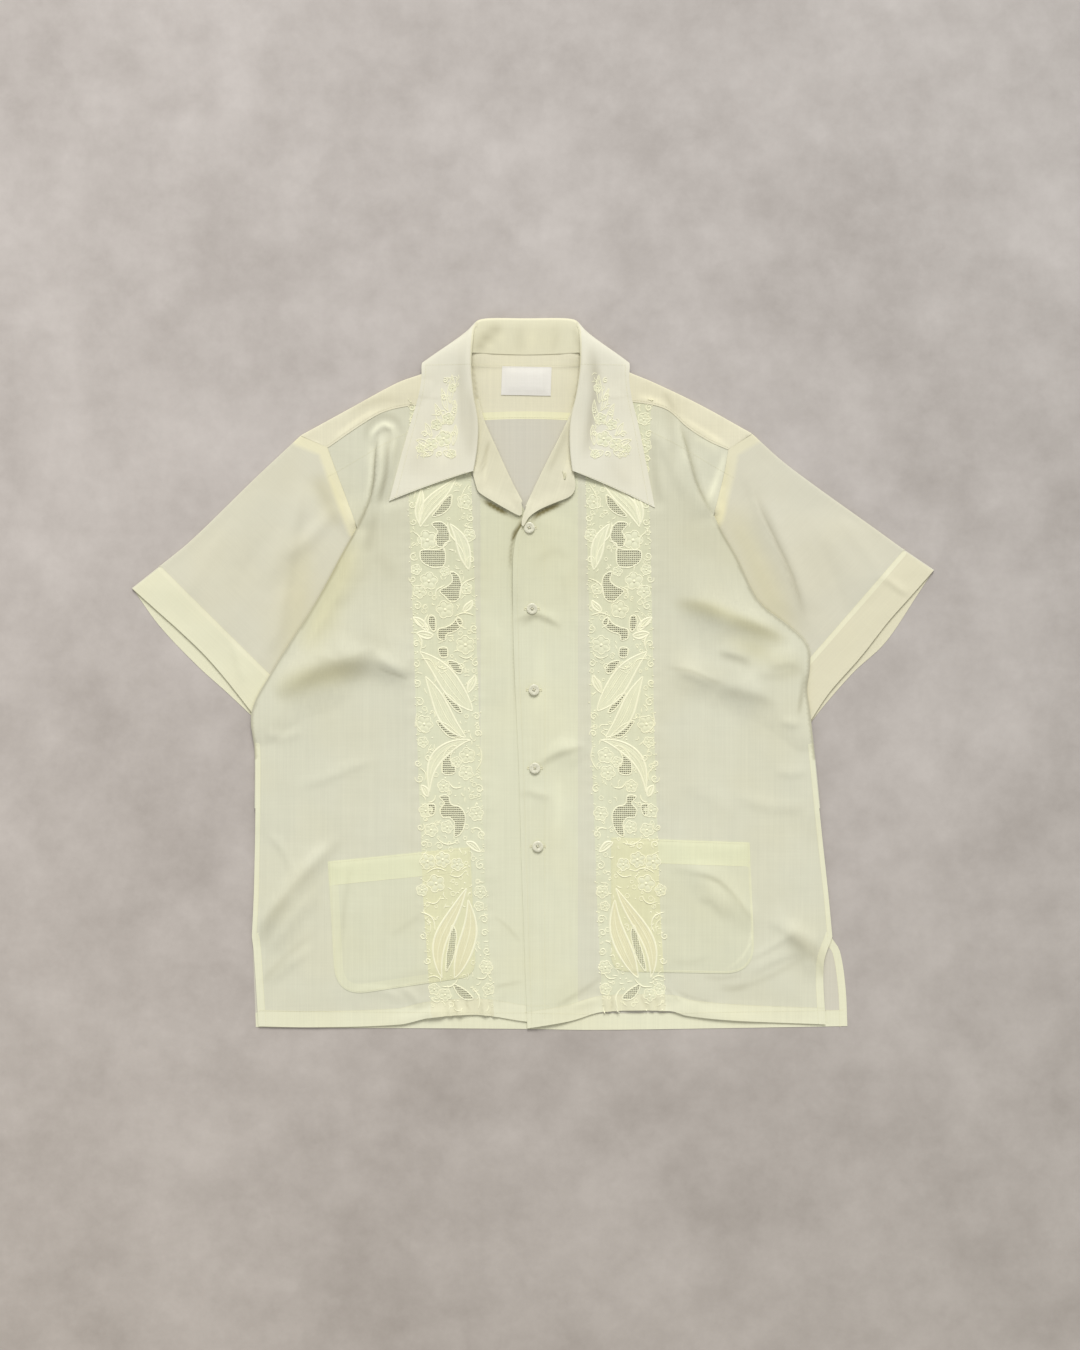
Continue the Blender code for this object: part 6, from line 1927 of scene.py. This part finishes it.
class Look:
    """A material, with short ways to make its nodes."""

    def __init__(self, name, inputs):
        self.made = bpy.data.materials.new(name)
        self.made.use_nodes = True
        self.shader = self.made.node_tree.nodes["Principled BSDF"]
        self.set(self.shader, inputs)
        self.place = self.node("TexCoord", "Object", {})

    def set(self, node, inputs):
        """Give a node's inputs their values, or join them to other nodes' outputs."""
        for key, value in inputs.items():
            if isinstance(value, bpy.types.NodeSocket):
                self.made.node_tree.links.new(value, node.inputs[key])
            else:
                node.inputs[key].default_value = value

    def node(self, kind, output, inputs, **options):
        """A new node's output."""
        node = self.made.node_tree.nodes.new("ShaderNode" + kind)
        for key, value in options.items():
            setattr(node, key, value)
        self.set(node, inputs)
        return node.outputs[output]

    def sum_of(self, a, b):
        return self.node("Math", 0, {0: a, 1: b}, operation="ADD")

    def part_of(self, a, share):
        return self.node("Math", 0, {0: a, 1: share}, operation="MULTIPLY")

    def tinted(self, colours, share, full):
        """Colours multiplied by a full tint, by a share."""
        return self.node("Mix", "Result", {"B": full, "Factor": share, "A": colours}, data_type="RGBA",
                         blend_type="MULTIPLY")

    def ramp(self, share, low, high, first, last):
        """Colours from first to last, as a share goes from low to high."""
        colours = self.node("ValToRGB", "Color", {"Fac": share})
        for element, position, shade in zip(colours.node.color_ramp.elements, (low, high), (first, last)):
            element.position, element.color = position, shade
        return colours

    def finished(self, colours, relief=None, strength=0.0, distance=0.0):
        """The material with its colours and its relief."""
        self.set(self.shader, {"Base Color": colours})
        if relief:
            bump = {"Strength": strength, "Distance": distance, "Height": relief}
            self.set(self.shader, {"Normal": self.node("Bump", "Normal", bump)})
        return self.made


def fabric(name, shade, angle=0.0, slub=0.034, rough=0.66, sheen=0.2, weave=0.35):
    """Plain woven cloth: uneven yarns both ways, a fine weave and slow changes of tone."""
    base = colour(*shade)
    look = Look(name, {"Roughness": rough, "Sheen Weight": sheen, "Sheen Roughness": 0.4, "Specular IOR Level": 0.35})
    turned = look.node("Mapping", "Vector", {"Rotation": (0, 0, angle), "Vector": look.place})

    def noise_of(scale, size, detail):
        stretch = look.node("Mapping", "Vector", {"Scale": scale, "Vector": turned})
        return look.node("TexNoise", "Fac", {"Scale": size, "Detail": detail, "Vector": stretch})

    warp = noise_of((1.0, 0.014, 1.0), 640.0, 3.0)
    weft = noise_of((0.03, 1.0, 1.0), 600.0, 3.0)
    slow = noise_of((1.0, 1.0, 1.0), 7.0, 3.0)
    yarns = look.sum_of(look.part_of(warp, 0.68), look.part_of(weft, 0.32))
    shown = look.ramp(look.sum_of(look.part_of(yarns, 0.75), look.part_of(slow, 0.25)), 0.36, 0.64,
                      tinted(base, 1 - slub), tinted(base, 1 + slub))
    drift = look.node("MapRange", "Result",
                      {"From Min": 0.42, "From Max": 0.66, "Value": noise_of((1.0, 1.0, 1.0), 11.0, 2.0)})
    shown = look.tinted(shown, look.part_of(drift, 0.8), WARM)
    # The mesh's attributes lay on a yellower tint, painted highlight with paler doubled cloth, and painted shade.
    for kind, full in zip(TONE_KINDS, (YELLOW, HIGHLIGHT_AND_DOUBLED_TINT, PAINTED_SHADE_TINT)):
        shown = look.tinted(shown, look.node("Attribute", "Fac", {}, attribute_name=kind), full)
    waves = [look.node("TexWave", "Fac", {"Scale": 520.0, "Distortion": 0.6, "Vector": turned}, bands_direction=axis)
             for axis in ("X", "Y")]
    relief = look.sum_of(look.part_of(look.sum_of(*waves), 0.35), look.part_of(yarns, 0.9))
    return look.finished(shown, relief, weave, 0.00025)


def thread_look(name, shade, rough):
    """Embroidery thread: a soft gloss, with the fine lay of the strands."""
    return fabric(name, shade, slub=0.04, rough=rough, sheen=0.15, weave=0.25)


def pearl_look():
    """Clouded shell under a thin gloss."""
    look = Look("pearl_shell", {"Roughness": 0.38, "Coat Weight": 0.2, "Coat Roughness": 0.25})
    cloud = look.node("TexNoise", "Fac", {"Scale": 260.0, "Distortion": 1.6, "Vector": look.place})
    shown = look.ramp(cloud, 0.35, 0.68, colour(205, 203, 179), colour(230, 227, 204))
    return look.finished(shown, cloud, 0.1, 0.0002)


def floor_look():
    """A light grey floor with faint clouding, and painted shade that darkens it towards the viewer's right and the
    bottom.
    """
    look = Look("floor", {"Roughness": 0.9})
    clouds = []
    for scale, detail, weight in ((3.4, 12.0, 0.62), (17.0, 8.0, 0.38)):
        cloud = {"Scale": scale, "Detail": detail, "Roughness": 0.68, "Vector": look.place}
        clouds.append(look.part_of(look.node("TexNoise", "Fac", cloud), weight))
    shown = look.ramp(look.sum_of(*clouds), 0.3, 0.72, colour(171, 163, 157), colour(216, 209, 204))
    # Painted shade: darker towards the viewer's right and the bottom.
    for axis, low, high, full in (("X", -0.5, 0.6, (0.89, 0.90, 0.905, 1.0)),
                                  ("Y", 0.55, -0.7, (0.80, 0.78, 0.745, 1.0))):
        along = look.node("SeparateXYZ", axis, {"Vector": look.place})
        share = look.node("MapRange", "Result", {"From Min": low, "From Max": high, "Value": along})
        shown = look.tinted(shown, share, full)
    return look.finished(shown)


def make_looks():
    """Every material by its short name."""
    grain_right, grain_left = math.radians(-46), math.radians(44)
    return {
        "linen": fabric("linen", (213, 212, 190)),
        "doubled": fabric("linen_doubled", (226, 225, 197)),
        "seam": fabric("linen_seam", (232, 229, 192)),
        "faced": fabric("linen_faced", (218, 218, 191)),
        "ground": fabric("linen_ground", (218, 219, 190), weave=0.5),
        "ground_hem": fabric("linen_ground_hem", (225, 222, 191), weave=0.5),
        "inner": fabric("linen_inner", (206, 202, 186)),
        "yoke": fabric("linen_yoke", (225, 220, 193)),
        "facing": fabric("linen_facing", (219, 215, 189), angle=0.3),
        "pocket": fabric("linen_pocket", (214, 214, 188)),
        "pocket_hem": fabric("linen_pocket_hem", (222, 223, 189)),
        "pocket_edge": fabric("linen_pocket_edge", (219, 219, 190)),
        "pocket_ground": fabric("linen_pocket_ground", (221, 220, 182), weave=0.5),
        "sleeve_right": fabric("linen_sleeve_right", (214, 211, 190), angle=grain_right, slub=0.018),
        "sleeve_left": fabric("linen_sleeve_left", (212, 209, 189), angle=grain_left, slub=0.018),
        "sleeve_right_doubled": fabric("linen_cuff_right", (227, 225, 196), angle=grain_right, slub=0.02),
        "sleeve_left_doubled": fabric("linen_cuff_left", (221, 216, 188), angle=grain_left, slub=0.02),
        "cuff_turn": fabric("linen_cuff_turn", (231, 228, 199), slub=0.02),
        "collar": fabric("collar_linen", (226, 223, 204), slub=0.02),
        "stand": fabric("collar_stand", (227, 223, 194), slub=0.02),
        "label": fabric("label_tape", (234, 231, 222), slub=0.02, weave=0.6),
        "satin": thread_look("satin_thread", (241, 239, 209), 0.42),
        "petal": thread_look("petal_thread", (225, 225, 194), 0.55),
        "pocket_petal": thread_look("pocket_petal_thread", (225, 221, 184), 0.55),
        "net": thread_look("net_thread", (228, 227, 197), 0.6),
        "sewing": thread_look("sewing_thread", (220, 217, 186), 0.6),
        "pearl": pearl_look(),
    }


VIEW_CENTRE = (7.3, -0.4)
VIEW_HEIGHT = 1417.5
CAMERA_AWAY = 2600.0
SENSOR = 36.0
FLOOR_HALF = 3.0
SKY = (1.0, 0.99, 0.97, 1.0)
SKY_STRENGTH = 0.52


def set_stage():
    """The floor, the lights and the camera."""
    floor = bpy.data.meshes.new("floor")
    corners = [(x * FLOOR_HALF, y * FLOOR_HALF, 0) for x, y in ((-1, -1), (1, -1), (1, 1), (-1, 1))]
    floor.from_pydata(corners, [], [(0, 1, 2, 3)])
    floor.materials.append(floor_look())
    placed("floor", floor)

    bpy.context.scene.view_settings.view_transform = "Standard"
    world = bpy.context.scene.world or bpy.data.worlds.new("world")
    bpy.context.scene.world = world
    world.use_nodes = True
    sky = world.node_tree.nodes["Background"].inputs
    sky["Color"].default_value, sky["Strength"].default_value = SKY, SKY_STRENGTH

    for name, kind, place, size, power in (("key", "SUN", (0.3, 5.4, 4.6), 0.5, 2.5),
                                           ("fill", "AREA", (-0.6, -2.6, 2.6), 2.2, 4.0)):
        light = bpy.data.lights.new(name, kind)
        light.energy = power
        if kind == "SUN":
            light.angle = size
        else:
            light.size = size
        lamp = placed(name, light)
        lamp.location = place
        lamp.rotation_euler = (-Vector(place)).to_track_quat("-Z", "Y").to_euler()

    camera = bpy.data.cameras.new("camera")
    camera.sensor_fit = "VERTICAL"
    camera.sensor_height = SENSOR
    camera.lens = SENSOR * CAMERA_AWAY / VIEW_HEIGHT
    camera.clip_end = 20.0
    eye = placed("camera", camera)
    eye.location = (VIEW_CENTRE[0] * MM, VIEW_CENTRE[1] * MM, CAMERA_AWAY * MM)
    bpy.context.scene.camera = eye


def joined_tree(surfaces):
    """One tree for rays onto several surfaces."""
    points, faces, start = [], [], 0
    for some, theirs in surfaces:
        points += [tuple(p) for p in some]
        faces += [tuple(start + i for i in f) for f in theirs]
        start += len(some)
    return BVHTree.FromPolygons(points, faces)


SIDES = (
    ("right", 1, RIGHT_FRONT, RIGHT_SLEEVE, RIGHT_FACING, RIGHT_POCKET),
    ("left", -1, LEFT_FRONT, LEFT_SLEEVE, LEFT_FACING, LEFT_POCKET),
)
# A short upright loop of thread on the left lapel
THREAD_LOOP = ((31.0, 213.2), (31.9, 210.6), (32.6, 207.6), (32.9, 204.8), (33.7, 205.2), (34.0, 208.2), (33.8, 211.4))
LOOP_THREAD = (1.0, 0.5)
# A buttonhole's half length and half opening, and the bar across each of its ends
BUTTONHOLE_HALF = 8
BUTTONHOLE_OPEN = 0.9
BUTTONHOLE_PARTS = 8
BUTTONHOLE_THREAD = (1.2, 0.45)
BAR_HALF = 1.5
BAR_THREAD = (1.2, 0.5)
# The collar's edge is stitched where it lies this high, and its points from this row on
EDGE_STITCH_FROM = 5.2
PAST_CREST = 14


def sew_all(body, collar, rows, fronts, lines, looks):
    """The stitches of the body and of the collar."""
    stitches = Threads(joined_tree(body))
    for _, _, seams in fronts:
        for key, line in seams.items():
            sew(stitches, line, closed=key == "pocket")
    for line in lines:
        sew(stitches, line)
    for x, y in BUTTONS:
        for side in (-1, 1):
            hole = [(x - BUTTONHOLE_HALF + 2 * BUTTONHOLE_HALF * k / BUTTONHOLE_PARTS, y + side * BUTTONHOLE_OPEN)
                    for k in range(BUTTONHOLE_PARTS + 1)]
            stitches.strip(hole, *BUTTONHOLE_THREAD, taper=0.8)
            bar = [(x + side * BUTTONHOLE_HALF, y - BAR_HALF + k) for k in range(4)]
            stitches.strip(bar, *BAR_THREAD, taper=0.8)
    stitches.strip(THREAD_LOOP, *LOOP_THREAD, taper=1.0, round_under=True, lift=0.5)
    stitches.build("stitches", looks["sewing"])
    collar_stitches = Threads(collar, COLLAR_THIN / 2)
    sew(collar_stitches, [p for p in rows[-3] if p[2] > EDGE_STITCH_FROM])
    for column in (1, len(rows[0]) - 2):
        sew(collar_stitches, [row[column] for row in rows[PAST_CREST:]])
    collar_stitches.build("collar_stitches", looks["sewing"], slot="collar_linen")


def main():
    looks = make_looks()
    set_stage()
    back, back_seams = build_back(looks)
    yoke, yoke_seams = build_yoke(looks)
    body, sleeve_hems, fronts = [back, *yoke], [], []
    for name, side, front, sleeve, facing, _ in SIDES:
        level = front_height("front_" + name, front, sleeve, front_rim(front, facing, side, COARSE))
        surface, hem = build_sleeve("sleeve_" + name, sleeve, front, level, looks)
        body.append(surface)
        sleeve_hems.append(hem)
    for name, _, front, sleeve, facing, pocket in SIDES:
        fronts.append(build_front("front_" + name, front, sleeve, facing, pocket, looks))
        body += fronts[-1][1]
    for (name, _, _, _, facing, _), (height, _, _) in zip(SIDES, fronts):
        body.append(build_facing("facing_" + name, facing, height, looks))
    collar, rows = build_collar(looks, joined_tree(body))
    for left in (False, True):
        embroider(left, joined_tree(fronts[left][1]), looks)
    collar_tree = joined_tree([collar])
    for left in (False, True):
        embroider_collar(left, collar_tree, looks)
    sew_all(body, collar_tree, rows, fronts, back_seams + yoke_seams + sleeve_hems, looks)
    for number in range(1, len(BUTTONS) + 1):
        button(number, looks)


main()
